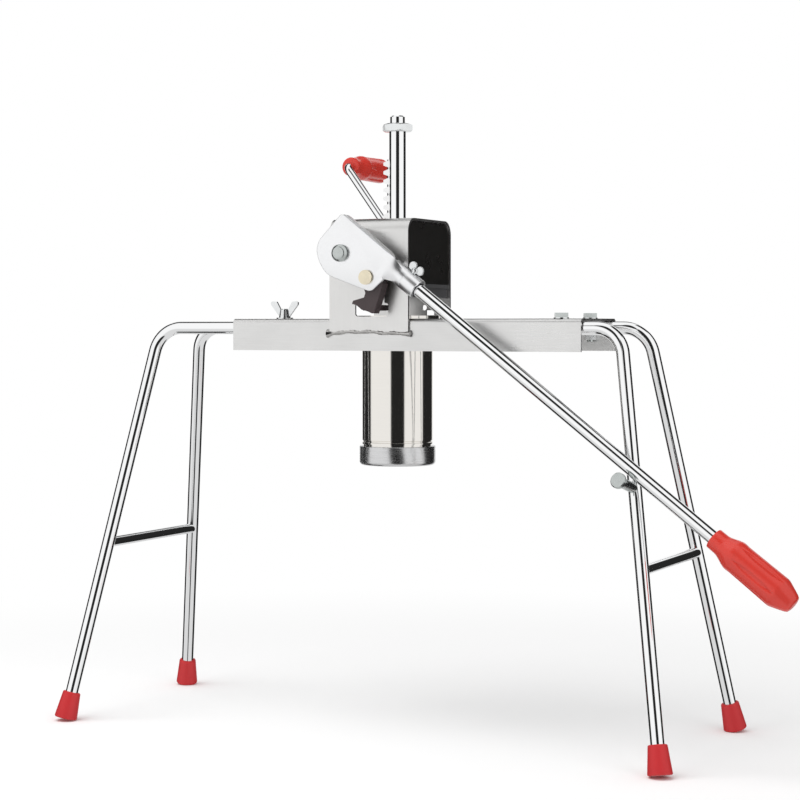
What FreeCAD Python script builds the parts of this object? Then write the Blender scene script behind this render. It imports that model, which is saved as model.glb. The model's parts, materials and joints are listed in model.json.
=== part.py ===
"""Pasta extruder with crank: a barrel and die under a channel beam on four splayed tube legs, with a rack plunger
that is wound up and down by a rear crank and pressed down, tooth by tooth, by a front lever and its pawl.

Frame: origin on the floor under the barrel's axis, +X along the beam towards the lever's grip, -Y to the front
(the lever's side), +Z up. Millimetres.
"""
import FreeCAD, Part
import math
import os
import re

import Sketcher

V = FreeCAD.Vector
doc = FreeCAD.newDocument("PastaExtruder")

# ---------------------------------------------------------------------------------------------------------------
# Driving dimensions: each size that can be chosen by itself
# ---------------------------------------------------------------------------------------------------------------
DRIVING = [
    # beam: an inverted U channel, bent from sheet
    ("beam_width", 96), ("beam_depth", 31), ("beam_top", 402.5), ("beam_left", 158.5), ("beam_right", 209.5),
    ("beam_wall", 2.5), ("beam_bend", 4.5),
    # leg frames: bent tubes, a crossbar each
    ("tube_diameter", 12.7), ("tube_wall", 1.5), ("tube_gap", 0.3), ("web_gap", 0.1), ("tube_bend", 28),
    ("left_reach", 90), ("right_reach", 35.5), ("left_insert", 68), ("right_insert", 60),
    ("leg_lean", 65.5), ("foot_spread", 117.5), ("crossbar_height", 177), ("crossbar_diameter", 10.5),
    # rubber feet
    ("foot_height", 27), ("foot_top_diameter", 17.5), ("foot_sole_diameter", 23), ("foot_base", 7),
    ("foot_trim", 1.2), ("foot_round", 1.5),
    # bolts of the right frame
    ("leg_bolt_inset", 22.7), ("leg_bolt_diameter", 6), ("bolt_flats", 12), ("bolt_head_height", 4.4),
    ("leg_washer_diameter", 14.5), ("leg_washer_height", 1), ("bolt_nut_height", 5), ("hole_gap", 0.2),
    # clamp of the left frame
    ("clamp_inset", 32.5), ("clamp_plate_length", 40), ("clamp_plate_height", 3), ("clamp_bolt_diameter", 6),
    ("clamp_washer_diameter", 17), ("clamp_washer_height", 1.2), ("slot_outward", 16), ("slot_inward", 52),
    ("wing_hub_diameter", 12), ("wing_hub_height", 8), ("wing_span", 30.5), ("wing_height", 16.6),
    ("wing_thickness", 2.4), ("thread_gap", 0.06),
    # mechanism housing: a second, larger inverted U welded over the beam
    ("housing_left", 49.4), ("housing_right", 34.9), ("housing_rise", 96.7), ("housing_wall", 2.5),
    ("housing_bend", 14), ("housing_lap", 12.7), ("weld_radius", 2.3),
    ("window_left", 21.4), ("window_right", 14.2), ("window_sill", 2.1), ("window_height", 13),
    ("window_round", 3), ("claw_slot_half", 10), ("claw_slot_rise", 26),
    ("rear_slot_centre", 13.3), ("rear_slot_length", 9), ("rear_slot_rise", 3.75), ("rear_slot_height", 5),
    ("rear_hole_centre", 6.9), ("rear_hole_rise", 11.3), ("rear_hole_diameter", 5.5),
    ("cover_thickness", 1.5), ("cover_recess", 1), ("cover_gap", 0.1), ("cover_drop", 62.8),
    ("skirt_thickness", 1.5), ("skirt_drop", 76), ("skirt_lap", 8), ("skirt_lip", 3.9),
    # barrel, die and screwed cap
    ("barrel_diameter", 70), ("barrel_wall", 2.5), ("barrel_drop", 136), ("neck_length", 13.3),
    ("neck_step", 1.2), ("groove_rise", 1.6), ("groove_depth", 0.6), ("groove_width", 1),
    ("flange_reach", 7), ("flange_thickness", 3), ("flange_screw_diameter", 4), ("screw_head_diameter", 6.4),
    ("screw_head_height", 2), ("bore_gap", 0.05),
    ("die_thickness", 4.5), ("die_hole_diameter", 4), ("die_hole_pitch", 6.6), ("die_rim", 5.5),
    ("cap_wall", 3.65), ("cap_height", 18.7), ("cap_lip", 3), ("cap_seat", 2.8), ("cap_round", 3.5),
    ("cap_edge_round", 0.5),
    # plunger: rod, rack, piston
    ("rod_diameter", 16.5), ("rod_rise", 136.1), ("stud_diameter", 14.7), ("stud_length", 15.8),
    ("rod_nut_height", 8), ("rod_nut_flats", 27), ("piston_drop", 40.5), ("piston_height", 14),
    ("piston_gap", 0.35), ("seal_section", 3), ("spigot_diameter", 12), ("piston_nut_flats", 19),
    ("piston_nut_height", 7), ("rack_pitch", 8.5), ("rack_line", 12), ("rack_addendum", 1.55),
    ("rack_root_gap", 0.4), ("rack_width", 8), ("rack_back", 3), ("rack_teeth", 16), ("rack_teeth_below", 5),
    ("tooth_backlash", 0.25),
    # pinion, shaft and its bushes
    ("shaft_rise", 62.7), ("shaft_diameter", 12), ("running_gap", 0.06), ("pinion_teeth", 10),
    ("pinion_width", 9), ("pinion_addendum", 2.2), ("pressure_angle", 20), ("bush_diameter", 17),
    ("bush_flange_diameter", 23), ("bush_flange_thickness", 2), ("guide_diameter", 32),
    ("guide_flange_diameter", 40), ("guide_flange_height", 6), ("guide_notch_gap", 0.4),
    # crank at the rear
    ("crank_air", 20), ("crank_length", 118.7), ("crank_lean", 36.3), ("crank_rod_diameter", 8.5),
    ("crank_bend", 9), ("crank_hub_diameter", 24), ("crank_hub_length", 15), ("hub_screw_diameter", 5),
    ("crank_grip_length", 86), ("crank_grip_collar", 19.5), ("crank_grip_body", 26),
    # lever plate and its bearings; u runs along the lever, v square to it
    ("lever_pitch", 36.5), ("lever_splay", 4), ("plate_stand", 19.5), ("plate_thickness", 4),
    ("lever_hub_diameter", 22), ("plate_flange_depth", 9), ("plate_flange_thickness", 2.6),
    ("plate_flange_inset", 4.5), ("plate_bend", 2),
    ("pivot_cap_diameter", 16.4), ("pivot_cap_height", 5), ("pivot_cap_bevel", 2.4), ("plate_air", 0.3),
    ("rivet_along", 36), ("rivet_below", 2.5), ("rivet_head_diameter", 14), ("rivet_head_height", 2.6),
    ("rivet_pin_diameter", 8), ("rivet_tail_diameter", 12), ("rivet_tail_height", 1.6),
    # lever tube, its socket, set screw and grip
    ("socket_mouth", 83.3), ("lever_offset", 17.5), ("socket_setback", 6), ("socket_diameter", 20),
    ("socket_length", 31), ("socket_bare", 23), ("mouth_bore", 15.8), ("mouth_depth", 6),
    ("lever_diameter", 12.7), ("lever_wall", 1.5), ("lever_insert", 27),
    ("lever_exposed", 370.7), ("lever_grip_length", 91.5), ("lever_grip_collar", 19.5), ("lever_grip_body", 29.5),
    ("grip_end_wall", 9), ("set_screw_back", 13.5), ("set_screw_diameter", 5), ("set_screw_height", 22),
    ("set_screw_wing", 13.5), ("set_screw_hub", 7.5),
    # pawl: plate outside the housing, claw through its window
    ("pawl_thickness", 12), ("pawl_rise", 5), ("claw_height", 5.2), ("claw_bottom", 8), ("claw_left", 4),
    ("claw_right", 6), ("claw_inner", 22), ("claw_bar", 8), ("claw_nose", 9), ("claw_gap", 0.5),
    # peg on the front right leg, which stops the lever
    ("peg_air", 2.877), ("peg_rise", 17.4), ("peg_turn", 9.2), ("peg_diameter", 9.5), ("peg_length", 35),
    ("peg_head_diameter", 14.5), ("peg_head_height", 3.6),
]

# ---------------------------------------------------------------------------------------------------------------
# Places that follow from the driving dimensions
# ---------------------------------------------------------------------------------------------------------------
FOLLOWING = [
    ("tube_radius", "tube_diameter / 2"),
    ("tube_y", "beam_width / 2 - beam_wall - tube_radius - tube_gap"),
    ("tube_z", "beam_top - beam_wall - tube_radius - web_gap"),
    ("left_corner", "beam_left + left_reach"),
    ("right_corner", "beam_right + right_reach"),
    ("leg_splay", "foot_spread - tube_y"),
    ("leg_fall", "sqrt(tube_z * tube_z + leg_splay * leg_splay)"),
    ("leg_length", "sqrt(leg_fall * leg_fall + leg_lean * leg_lean)"),
    ("leg_cosine", "tube_z / leg_length"),
    ("leg_sine", "sqrt(1 - leg_cosine * leg_cosine)"),
    ("sole_lift", "(foot_sole_diameter / 2 * leg_sine - foot_trim) / leg_cosine"),
    ("tube_end", "leg_length - sole_lift - foot_base"),
    ("leg_bolt_x", "beam_right - leg_bolt_inset"),
    ("clamp_x", "beam_left - clamp_inset"),
    ("clamp_plate_top", "tube_z - tube_radius"),
    ("housing_half", "beam_width / 2 + housing_wall"),
    ("housing_bottom", "beam_top - housing_lap"),
    ("housing_top", "beam_top + housing_rise"),
    ("window_bottom", "beam_top + window_sill"),
    ("barrel_radius", "barrel_diameter / 2"),
    ("neck_diameter", "barrel_diameter - 2 * neck_step"),
    ("flange_diameter", "barrel_diameter + 2 * flange_reach"),
    ("flange_screw_circle", "barrel_diameter + flange_reach"),
    ("cap_diameter", "neck_diameter + 2 * cap_wall"),
    ("cap_opening", "neck_diameter - 2 * cap_seat"),
    ("bore_radius", "barrel_radius - barrel_wall"),
    ("web_bottom", "beam_top - beam_wall"),
    ("barrel_bottom", "beam_top - barrel_drop"),
    ("piston_bottom", "beam_top - piston_drop"),
    ("shaft_height", "beam_top + shaft_rise"),
    ("cap_bottom", "barrel_bottom - die_thickness - bore_gap - cap_lip"),
    ("rod_radius", "rod_diameter / 2"),
    ("rod_top", "shaft_height + rod_rise"),
    ("rod_nut_bottom", "rod_top - stud_length"),
    ("rack_tip", "rack_line + rack_addendum"),
    ("rack_root", "rack_line - pinion_addendum - rack_root_gap"),
    ("pinion_radius", "rack_pitch * pinion_teeth / 2 / 3.14159265358979"),
    ("pinion_root", "pinion_radius - rack_addendum - rack_root_gap"),
    ("shaft_x", "0 - rack_line - pinion_radius"),
    ("shaft_radius", "shaft_diameter / 2"),
    ("rack_bottom", "shaft_height - rack_teeth_below * rack_pitch"),
    ("rack_top", "rack_bottom + rack_teeth * rack_pitch"),
    ("cover_left_x", "0 - housing_left + cover_recess"),
    ("cover_right_x", "housing_right - cover_recess - cover_thickness"),
    ("crank_plane", "housing_half + crank_air + crank_hub_length / 2"),
    ("plate_back", "housing_half + plate_stand"),
    ("plate_front", "plate_back + plate_thickness"),
    ("socket_plane", "plate_back - socket_setback"),
    ("rivet_x", "shaft_x + rivet_along * cos(lever_pitch * 1deg) - rivet_below * sin(lever_pitch * 1deg)"),
    ("rivet_z", "shaft_height - rivet_along * sin(lever_pitch * 1deg) - rivet_below * cos(lever_pitch * 1deg)"),
    ("pawl_front", "plate_back - plate_air"),
    ("pawl_back", "pawl_front - pawl_thickness"),
    ("pawl_drop", "rivet_z - beam_top - pawl_rise"),
    ("claw_z", "beam_top + claw_bottom"),
    ("lever_radius", "lever_diameter / 2"),
]


def fill_sheet(name, rows):
    """A spreadsheet with a name, a content and an alias in each row."""
    sheet = doc.addObject("Spreadsheet::Sheet", name)
    for row, (alias, content) in enumerate(rows, 1):
        sheet.set(f"A{row}", alias)
        sheet.set(f"B{row}", content)
        sheet.setAlias(f"B{row}", alias)
    doc.recompute()
    return sheet


sizes = fill_sheet("Sizes", [(alias, str(number)) for alias, number in DRIVING])
SHEET_OF = {alias: "Sizes" for alias, _ in DRIVING}
SHEET_OF.update({alias: "Places" for alias, _ in FOLLOWING})


def formula(text):
    """The expression with each alias written as Sizes.alias or Places.alias."""
    def full_name(match):
        word = match.group(0)
        return f"{SHEET_OF[word]}.{word}" if word in SHEET_OF else word
    return re.sub(r"[a-z_]+[a-z_0-9]*", full_name, str(text))


def own_formula(text):
    """The same inside the Places sheet, whose own cells need no sheet name."""
    return "=" + formula(text).replace("Places.", "")


places = fill_sheet("Places", [(alias, own_formula(text)) for alias, text in FOLLOWING])


def size(alias):
    """The number that a cell of either sheet holds."""
    number = getattr(sizes if SHEET_OF[alias] == "Sizes" else places, alias)
    return float(number.Value if hasattr(number, "Value") else number)


# ---------------------------------------------------------------------------------------------------------------
# Document helpers
# ---------------------------------------------------------------------------------------------------------------
AXIS_TURNS = {"x": (V(0, 1, 0), 90), "y": (V(1, 0, 0), -90), "z": (V(0, 0, 1), 0)}


def bind(feature, **formulas):
    for name, text in formulas.items():
        feature.setExpression(name, formula(text))
    return feature


def put(feature, at, turn=None):
    """Binds the placement's corner or centre to three formulas, after an optional (axis, degrees) turn."""
    if turn:
        feature.Placement = FreeCAD.Placement(V(), FreeCAD.Rotation(*turn))
    for letter, text in zip("xyz", at):
        feature.setExpression(f"Placement.Base.{letter}", formula(text))
    return feature


def box(name, length, width, height, at):
    feature = bind(doc.addObject("Part::Box", name), Length=length, Width=width, Height=height)
    return put(feature, at)


def cylinder(name, radius, height, at, axis="z"):
    feature = bind(doc.addObject("Part::Cylinder", name), Radius=radius, Height=height)
    return put(feature, at, AXIS_TURNS[axis])


def hexagon(name, flats, height, at):
    feature = doc.addObject("Part::Prism", name)
    feature.Polygon = 6
    bind(feature, Circumradius=f"({flats}) / sqrt(3)", Height=height)
    return put(feature, at)


def fuse(name, parts):
    feature = doc.addObject("Part::MultiFuse", name)
    feature.Shapes = parts
    return feature


def cut(name, base, *tools):
    feature = doc.addObject("Part::Cut", name)
    feature.Base = base
    feature.Tool = tools[0] if len(tools) == 1 else fuse(name + "_tools", list(tools))
    return feature


def made(name, shape):
    """A sub-part whose shape Part's own functions made."""
    feature = doc.addObject("Part::Feature", name)
    feature.Shape = shape
    return feature


def along(point, direction):
    """The placement that carries the Z axis onto a line."""
    return FreeCAD.Placement(point, FreeCAD.Rotation(V(0, 0, 1), direction))


def new_body(name):
    return doc.addObject("PartDesign::Body", name)


def new_sketch(body, plane):
    sketch = body.newObject("Sketcher::SketchObject", body.Name + "_sketch")
    origin_plane = [f for f in body.Origin.OriginFeatures if f.Role == plane][0]
    sketch.AttachmentSupport = (origin_plane, "")
    sketch.MapMode = "FlatFace"
    return sketch


def hold_point(sketch, geometry, end, x, y):
    """Fixes a point of the sketch at two formulas, counted from the sketch's origin."""
    for kind, text in (("DistanceX", x), ("DistanceY", y)):
        index = sketch.addConstraint(Sketcher.Constraint(kind, -1, 1, geometry, end, 1.0))
        sketch.setExpression(f"Constraints[{index}]", formula(text))


START_RADIUS = 60    # of the ring that a sketch's corners leave for their constrained places


def outline(body, plane, corners):
    """A closed sketch of straight lines through corners given as pairs of formulas."""
    sketch = new_sketch(body, plane)
    count = len(corners)
    start = [V(math.cos(2 * math.pi * k / count), math.sin(2 * math.pi * k / count), 0) * START_RADIUS
             for k in range(count)]
    for k in range(count):
        sketch.addGeometry(Part.LineSegment(start[k], start[(k + 1) % count]), False)
    for k in range(count):
        sketch.addConstraint(Sketcher.Constraint("Coincident", k, 2, (k + 1) % count, 1))
    for k, (x, y) in enumerate(corners):
        hold_point(sketch, k, 1, x, y)
    return sketch


def circles(body, plane, rings):
    """A sketch of circles, each given as formulas for x, y and radius."""
    sketch = new_sketch(body, plane)
    for x, y, radius in rings:
        ring = sketch.addGeometry(Part.Circle(V(1, 1, 0), V(0, 0, 1), 1), False)
        hold_point(sketch, ring, 3, x, y)
        index = sketch.addConstraint(Sketcher.Constraint("Radius", ring, 1.0))
        sketch.setExpression(f"Constraints[{index}]", formula(radius))
    return sketch


def pad(body, sketch, length, back=None, symmetric=False, turned=False):
    feature = body.newObject("PartDesign::Pad", body.Name + "_pad")
    feature.Profile = sketch
    feature.Reversed = turned
    bind(feature, Length=length)
    if symmetric:
        feature.SideType = "Symmetric"
    if back:
        feature.SideType = "Two sides"
        bind(feature, Length2=back)
    return feature


def pocket(body, sketch, turned=False, both=False):
    """Cuts the sketch through the whole body, on one side of its plane or on both."""
    feature = body.newObject("PartDesign::Pocket", body.Name + "_pocket")
    feature.Profile = sketch
    feature.Type = 1
    feature.Reversed = turned
    if both:
        feature.SideType = "Symmetric"
    return feature


def revolve(body, corners):
    """Turns a profile, given as radius and height formulas, about the body's Z axis."""
    sketch = outline(body, "XZ_Plane", corners)
    feature = body.newObject("PartDesign::Revolution", body.Name + "_turned")
    feature.Profile = sketch
    feature.ReferenceAxis = (sketch, ["V_Axis"])
    feature.Angle = 360
    return feature


def round_edges(body, radius, wanted):
    """Fillets the edges of the body's last feature whose middle point and direction satisfy wanted."""
    doc.recompute()
    base = body.Tip
    names = []
    for number, edge in enumerate(base.Shape.Edges, 1):
        middle = edge.valueAt((edge.FirstParameter + edge.LastParameter) / 2)
        direction = edge.tangentAt((edge.FirstParameter + edge.LastParameter) / 2)
        if wanted(edge, middle, direction):
            names.append(f"Edge{number}")
    assert names, f"{body.Name}: no edge to round"
    feature = body.newObject("PartDesign::Fillet", body.Name + "_round")
    feature.Base = (base, names)
    bind(feature, Radius=radius)
    return feature


def near(value, target, slack=0.05):
    return abs(value - target) < slack


# ---------------------------------------------------------------------------------------------------------------
# Beam, with its holes for the barrel, the leg bolts and the clamp
# ---------------------------------------------------------------------------------------------------------------
def make_beam():
    beam = new_body("beam")
    half = "beam_width / 2"
    inner = "beam_width / 2 - beam_wall"
    low = "beam_top - beam_depth"
    profile = outline(beam, "YZ_Plane", [
        ("0 - " + half, low), ("0 - " + half, "beam_top"), (half, "beam_top"), (half, low),
        (inner, low), (inner, "web_bottom"), ("0 - (" + inner + ")", "web_bottom"), ("0 - (" + inner + ")", low)])
    pad(beam, profile, "beam_right", back="beam_left")
    round_edges(beam, "beam_bend", lambda edge, middle, direction:
                near(abs(direction.x), 1) and near(middle.z, size("beam_top")))
    round_edges(beam, "beam_bend - beam_wall", lambda edge, middle, direction:
                near(abs(direction.x), 1) and near(middle.z, size("web_bottom"))
                and near(abs(middle.y), size("beam_width") / 2 - size("beam_wall")))
    pocket(beam, circles(beam, "XY_Plane", [("0", "0", "barrel_radius + bore_gap")]), turned=True)
    leg_holes = [("leg_bolt_x", f"{side} * tube_y", "leg_bolt_diameter / 2 + hole_gap") for side in (-1, 1)]
    screw_holes = [(f"{a} * flange_screw_circle / 2 / sqrt(2)", f"{b} * flange_screw_circle / 2 / sqrt(2)",
                    "flange_screw_diameter / 2 + hole_gap") for a in (-1, 1) for b in (-1, 1)]
    pocket(beam, circles(beam, "XY_Plane", leg_holes + screw_holes), turned=True)
    slot_half = "(clamp_bolt_diameter / 2 + hole_gap)"
    outer, nearer = "0 - clamp_x - slot_outward", "0 - clamp_x + slot_inward"
    pocket(beam, outline(beam, "XY_Plane", [
        (outer, "0 - " + slot_half), (nearer, "0 - " + slot_half), (nearer, slot_half), (outer, slot_half)]),
        turned=True)
    for end in (outer, nearer):
        pocket(beam, circles(beam, "XY_Plane", [(end, "0", slot_half)]), turned=True)


# ---------------------------------------------------------------------------------------------------------------
# Leg frames
# ---------------------------------------------------------------------------------------------------------------
SIDES = {"left": -1, "right": 1}
DEPTHS = {"front": -1, "rear": 1}


def leg_line(side, depth):
    """The leg's axis: its corner at the beam and its unit direction towards the floor."""
    corner = V(SIDES[side] * size(side + "_corner"), DEPTHS[depth] * size("tube_y"), size("tube_z"))
    fall = V(SIDES[side] * size("leg_lean"), DEPTHS[depth] * size("leg_splay"), -size("tube_z"))
    return corner, fall.normalize()


def leg_core(side, depth):
    """A solid bar as thick as the tube along the leg's axis, to cut what is welded to the leg."""
    corner, down = leg_line(side, depth)
    core = bind(doc.addObject("Part::Cylinder", f"core_{depth}_{side}"), Radius="tube_radius", Height="tube_end")
    core.Placement = along(corner, down)
    return core


def make_leg_tube(name, side, depth):
    """A bent tube: a level run inside the beam, then the leg, in one plane that leans out by the splay."""
    hand = SIDES[side]
    tube = new_body(name)
    run = size(side + "_reach") + size(side + "_insert")
    fall, lean, end, radius = size("leg_fall"), size("leg_lean"), size("tube_end"), size("tube_bend")
    length = size("leg_length")
    turn = math.atan2(fall, lean)
    setback = radius * math.tan(turn / 2)
    centre = V(hand * (run - setback), -radius, 0)
    first, second = math.pi / 2 - turn, math.pi / 2
    if hand < 0:
        first, second = math.pi / 2, math.pi / 2 + turn
    path = new_sketch(tube, "XZ_Plane")
    path.addGeometry(Part.LineSegment(V(), V(hand * (run - setback), 0, 0)), False)
    path.addGeometry(Part.ArcOfCircle(Part.Circle(centre, V(0, 0, 1), radius), first, second), False)
    below = V(hand * (run + setback * lean / length), -setback * fall / length, 0)
    tip = V(hand * (run + end * lean / length), -end * fall / length, 0)
    path.addGeometry(Part.LineSegment(below, tip), False)
    start_of_arc, end_of_arc = (2, 1) if hand > 0 else (1, 2)
    path.addConstraint(Sketcher.Constraint("Coincident", 0, 1, -1, 1))
    path.addConstraint(Sketcher.Constraint("Horizontal", 0))
    path.addConstraint(Sketcher.Constraint("Tangent", 0, 2, 1, start_of_arc))
    path.addConstraint(Sketcher.Constraint("Tangent", 1, end_of_arc, 2, 1))
    straight = path.addConstraint(Sketcher.Constraint("DistanceX", -1, 1, 0, 2, hand * (run - setback)))
    path.setExpression(f"Constraints[{straight}]", formula(
        f"{hand} * ({side}_reach + {side}_insert - tube_bend * tan(atan(leg_fall / leg_lean) / 2))"))
    bend = path.addConstraint(Sketcher.Constraint("Radius", 1, radius))
    path.setExpression(f"Constraints[{bend}]", formula("tube_bend"))
    hold_point(path, 2, 2, f"{hand} * ({side}_reach + {side}_insert + tube_end * leg_lean / leg_length)",
               "0 - tube_end * leg_fall / leg_length")
    profile = circles(tube, "YZ_Plane", [("0", "0", "tube_radius"), ("0", "0", "tube_radius - tube_wall")])
    pipe = tube.newObject("PartDesign::AdditivePipe", name + "_pipe")
    pipe.Profile = profile
    pipe.Spine = path
    put(tube, (f"{hand} * (beam_{side} - {side}_insert)", f"{DEPTHS[depth]} * tube_y", "tube_z"),
        (V(1, 0, 0), 10))
    tube.setExpression("Placement.Rotation.Angle", formula(f"{DEPTHS[depth]} * atan(leg_splay / tube_z)"))
    return tube


def make_foot(name, side, depth):
    """A rubber cap pushed over the tube's end, its sole square to the leg and trimmed flat at the floor."""
    corner, down = leg_line(side, depth)
    cap = new_body(name + "_cap")
    revolve(cap, [("0", "0"), ("foot_sole_diameter / 2", "0"), ("foot_top_diameter / 2", "foot_height"),
                  ("tube_radius", "foot_height"), ("tube_radius", "foot_base"), ("0", "foot_base")])
    round_edges(cap, "foot_round", lambda edge, middle, direction:
                near(math.hypot(middle.x, middle.y), size("foot_sole_diameter") / 2) and near(middle.z, 0)
                or near(math.hypot(middle.x, middle.y), size("foot_top_diameter") / 2)
                and near(middle.z, size("foot_height")))
    cap.Placement = along(corner + down * (size("leg_length") - size("sole_lift")), down * -1)
    room = 4 * size("foot_sole_diameter")
    floor = doc.addObject("Part::Box", name + "_floor")
    floor.Length = floor.Width = floor.Height = room
    foot = corner + down * size("leg_length")
    floor.Placement = FreeCAD.Placement(V(foot.x - room / 2, foot.y - room / 2, -room), FreeCAD.Rotation())
    cut(name, cap, floor)


def make_leg_frame(side):
    for depth in DEPTHS:
        name = f"leg_{depth}_{side}"
        if side == "left":
            make_leg_tube(name, side, depth)
        else:
            drill = cylinder(name + "_drill", "leg_bolt_diameter / 2 + hole_gap", "4 * tube_diameter",
                             ("leg_bolt_x", f"{DEPTHS[depth]} * tube_y", "tube_z - 2 * tube_diameter"))
            cut(name, make_leg_tube(name + "_tube", side, depth), drill)
        make_foot(f"foot_{depth}_{side}", side, depth)
    part = "(tube_z - crossbar_height) / tube_z"
    reach = f"(tube_y + leg_splay * {part})"
    bar = cylinder(f"crossbar_{side}_bar", "crossbar_diameter / 2", f"2 * {reach}",
                   (f"{SIDES[side]} * ({side}_corner + leg_lean * {part})", f"0 - {reach}", "crossbar_height"), "y")
    cut(f"crossbar_{side}", bar, *[leg_core(side, depth) for depth in DEPTHS])


def make_leg_bolts():
    """Hexagon bolts through the beam's web and the right tubes, with washers on top and nuts below."""
    head_z = "(beam_top + leg_washer_height)"
    nut_z = "(tube_z - tube_radius - bolt_nut_height)"
    bolts, washers, nuts = [], [], []
    for depth, sign in DEPTHS.items():
        at = ("leg_bolt_x", f"{sign} * tube_y")
        head = hexagon("bolt_head_" + depth, "bolt_flats", "bolt_head_height", at + (head_z,))
        shank = cylinder("bolt_shank_" + depth, "leg_bolt_diameter / 2", f"{head_z} - {nut_z} + 2",
                         at + (f"{nut_z} - 2",))
        bolts.append(fuse("bolt_" + depth, [head, shank]))
        disc = cylinder("washer_disc_" + depth, "leg_washer_diameter / 2", "leg_washer_height", at + ("beam_top",))
        washers.append(cut("washer_" + depth, disc, cylinder(
            "washer_hole_" + depth, "leg_bolt_diameter / 2 + hole_gap", "3 * leg_washer_height",
            at + ("beam_top - leg_washer_height",))))
        block = hexagon("nut_block_" + depth, "bolt_flats - 2", "bolt_nut_height", at + (nut_z,))
        nuts.append(cut("nut_" + depth, block, cylinder(
            "nut_hole_" + depth, "leg_bolt_diameter / 2", "3 * bolt_nut_height",
            at + (f"{nut_z} - bolt_nut_height",))))
    for name, group in (("leg_bolts", bolts), ("leg_bolt_washers", washers), ("leg_bolt_nuts", nuts)):
        compound = doc.addObject("Part::Compound", name)
        compound.Links = group


def make_clamp():
    """Left frame's clamp: a plate welded under both tubes, and a bolt up through the beam's slot."""
    hole = cylinder("clamp_plate_hole", "clamp_bolt_diameter / 2", "3 * clamp_plate_height",
                    ("0 - clamp_x", "0", "clamp_plate_top - 2 * clamp_plate_height"))
    plate = box("clamp_plate_blank", "clamp_plate_length", "2 * tube_y + tube_diameter", "clamp_plate_height",
                ("0 - clamp_x - clamp_plate_length / 2", "0 - tube_y - tube_radius",
                 "clamp_plate_top - clamp_plate_height"))
    cut("clamp_plate", plate, hole)
    low = "(clamp_plate_top - clamp_plate_height)"
    nut_seat = "(beam_top + clamp_washer_height)"
    head = hexagon("clamp_bolt_head", "bolt_flats - 2", "bolt_head_height",
                   ("0 - clamp_x", "0", f"{low} - bolt_head_height"))
    shank = cylinder("clamp_bolt_shank", "clamp_bolt_diameter / 2", f"{nut_seat} + wing_hub_height + 1 - {low}",
                     ("0 - clamp_x", "0", low))
    fuse("clamp_bolt", [head, shank])
    disc = cylinder("clamp_washer_disc", "clamp_washer_diameter / 2", "clamp_washer_height",
                    ("0 - clamp_x", "0", "beam_top + web_gap"))
    cut("clamp_washer", disc, cylinder("clamp_washer_hole", "clamp_bolt_diameter / 2 + hole_gap",
                                       "3 * clamp_washer_height", ("0 - clamp_x", "0", "beam_top - 1")))


def wing_profile(span, height, hub):
    """Corners of one wing, from the hub out and up, as formulas."""
    return [(f"({hub}) / 2 - 1.5", "1.5"), (f"({hub}) / 2", "1.5"), (f"({span}) / 2", f"({height}) * 0.78"),
            (f"({span}) / 2 + 0.2", f"({height}) * 0.94"), (f"({span}) / 2 - 1.8", height),
            (f"({span}) / 2 - 6.5", f"({height}) * 0.97"), (f"({hub}) / 2 - 1.5", f"({height}) * 0.52")]


def make_wings(name, span, height, hub, thickness):
    """Both wings as one body in the XZ plane, about its Z axis."""
    wings = new_body(name)
    for side in (1, -1):
        corners = [(f"{side} * ({x})", y) for x, y in wing_profile(span, height, hub)]
        pad(wings, outline(wings, "XZ_Plane", corners), thickness, symmetric=True)
        if side == 1:
            link = [(f"{s} * (({hub}) / 2 - 1)", z) for s, z in ((-1, "2"), (1, "2"), (1, "5"), (-1, "5"))]
            pad(wings, outline(wings, "XZ_Plane", link), thickness, symmetric=True)
    return wings


def make_wing_nut():
    seat = "(beam_top + web_gap + clamp_washer_height)"
    at = ("0 - clamp_x", "0", seat)
    wings = put(make_wings("wing_nut_wings", "wing_span", "wing_height", "wing_hub_diameter", "wing_thickness"), at)
    hub = doc.addObject("Part::Cone", "wing_nut_hub")
    put(bind(hub, Radius1="wing_hub_diameter / 2", Radius2="wing_hub_diameter / 2 - 1.2",
             Height="wing_hub_height"), at)
    whole = fuse("wing_nut_whole", [wings, hub])
    cut("wing_nut", whole, cylinder("wing_nut_thread", "clamp_bolt_diameter / 2 + thread_gap", "3 * wing_height",
                                    ("0 - clamp_x", "0", f"{seat} - wing_height")))


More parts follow.
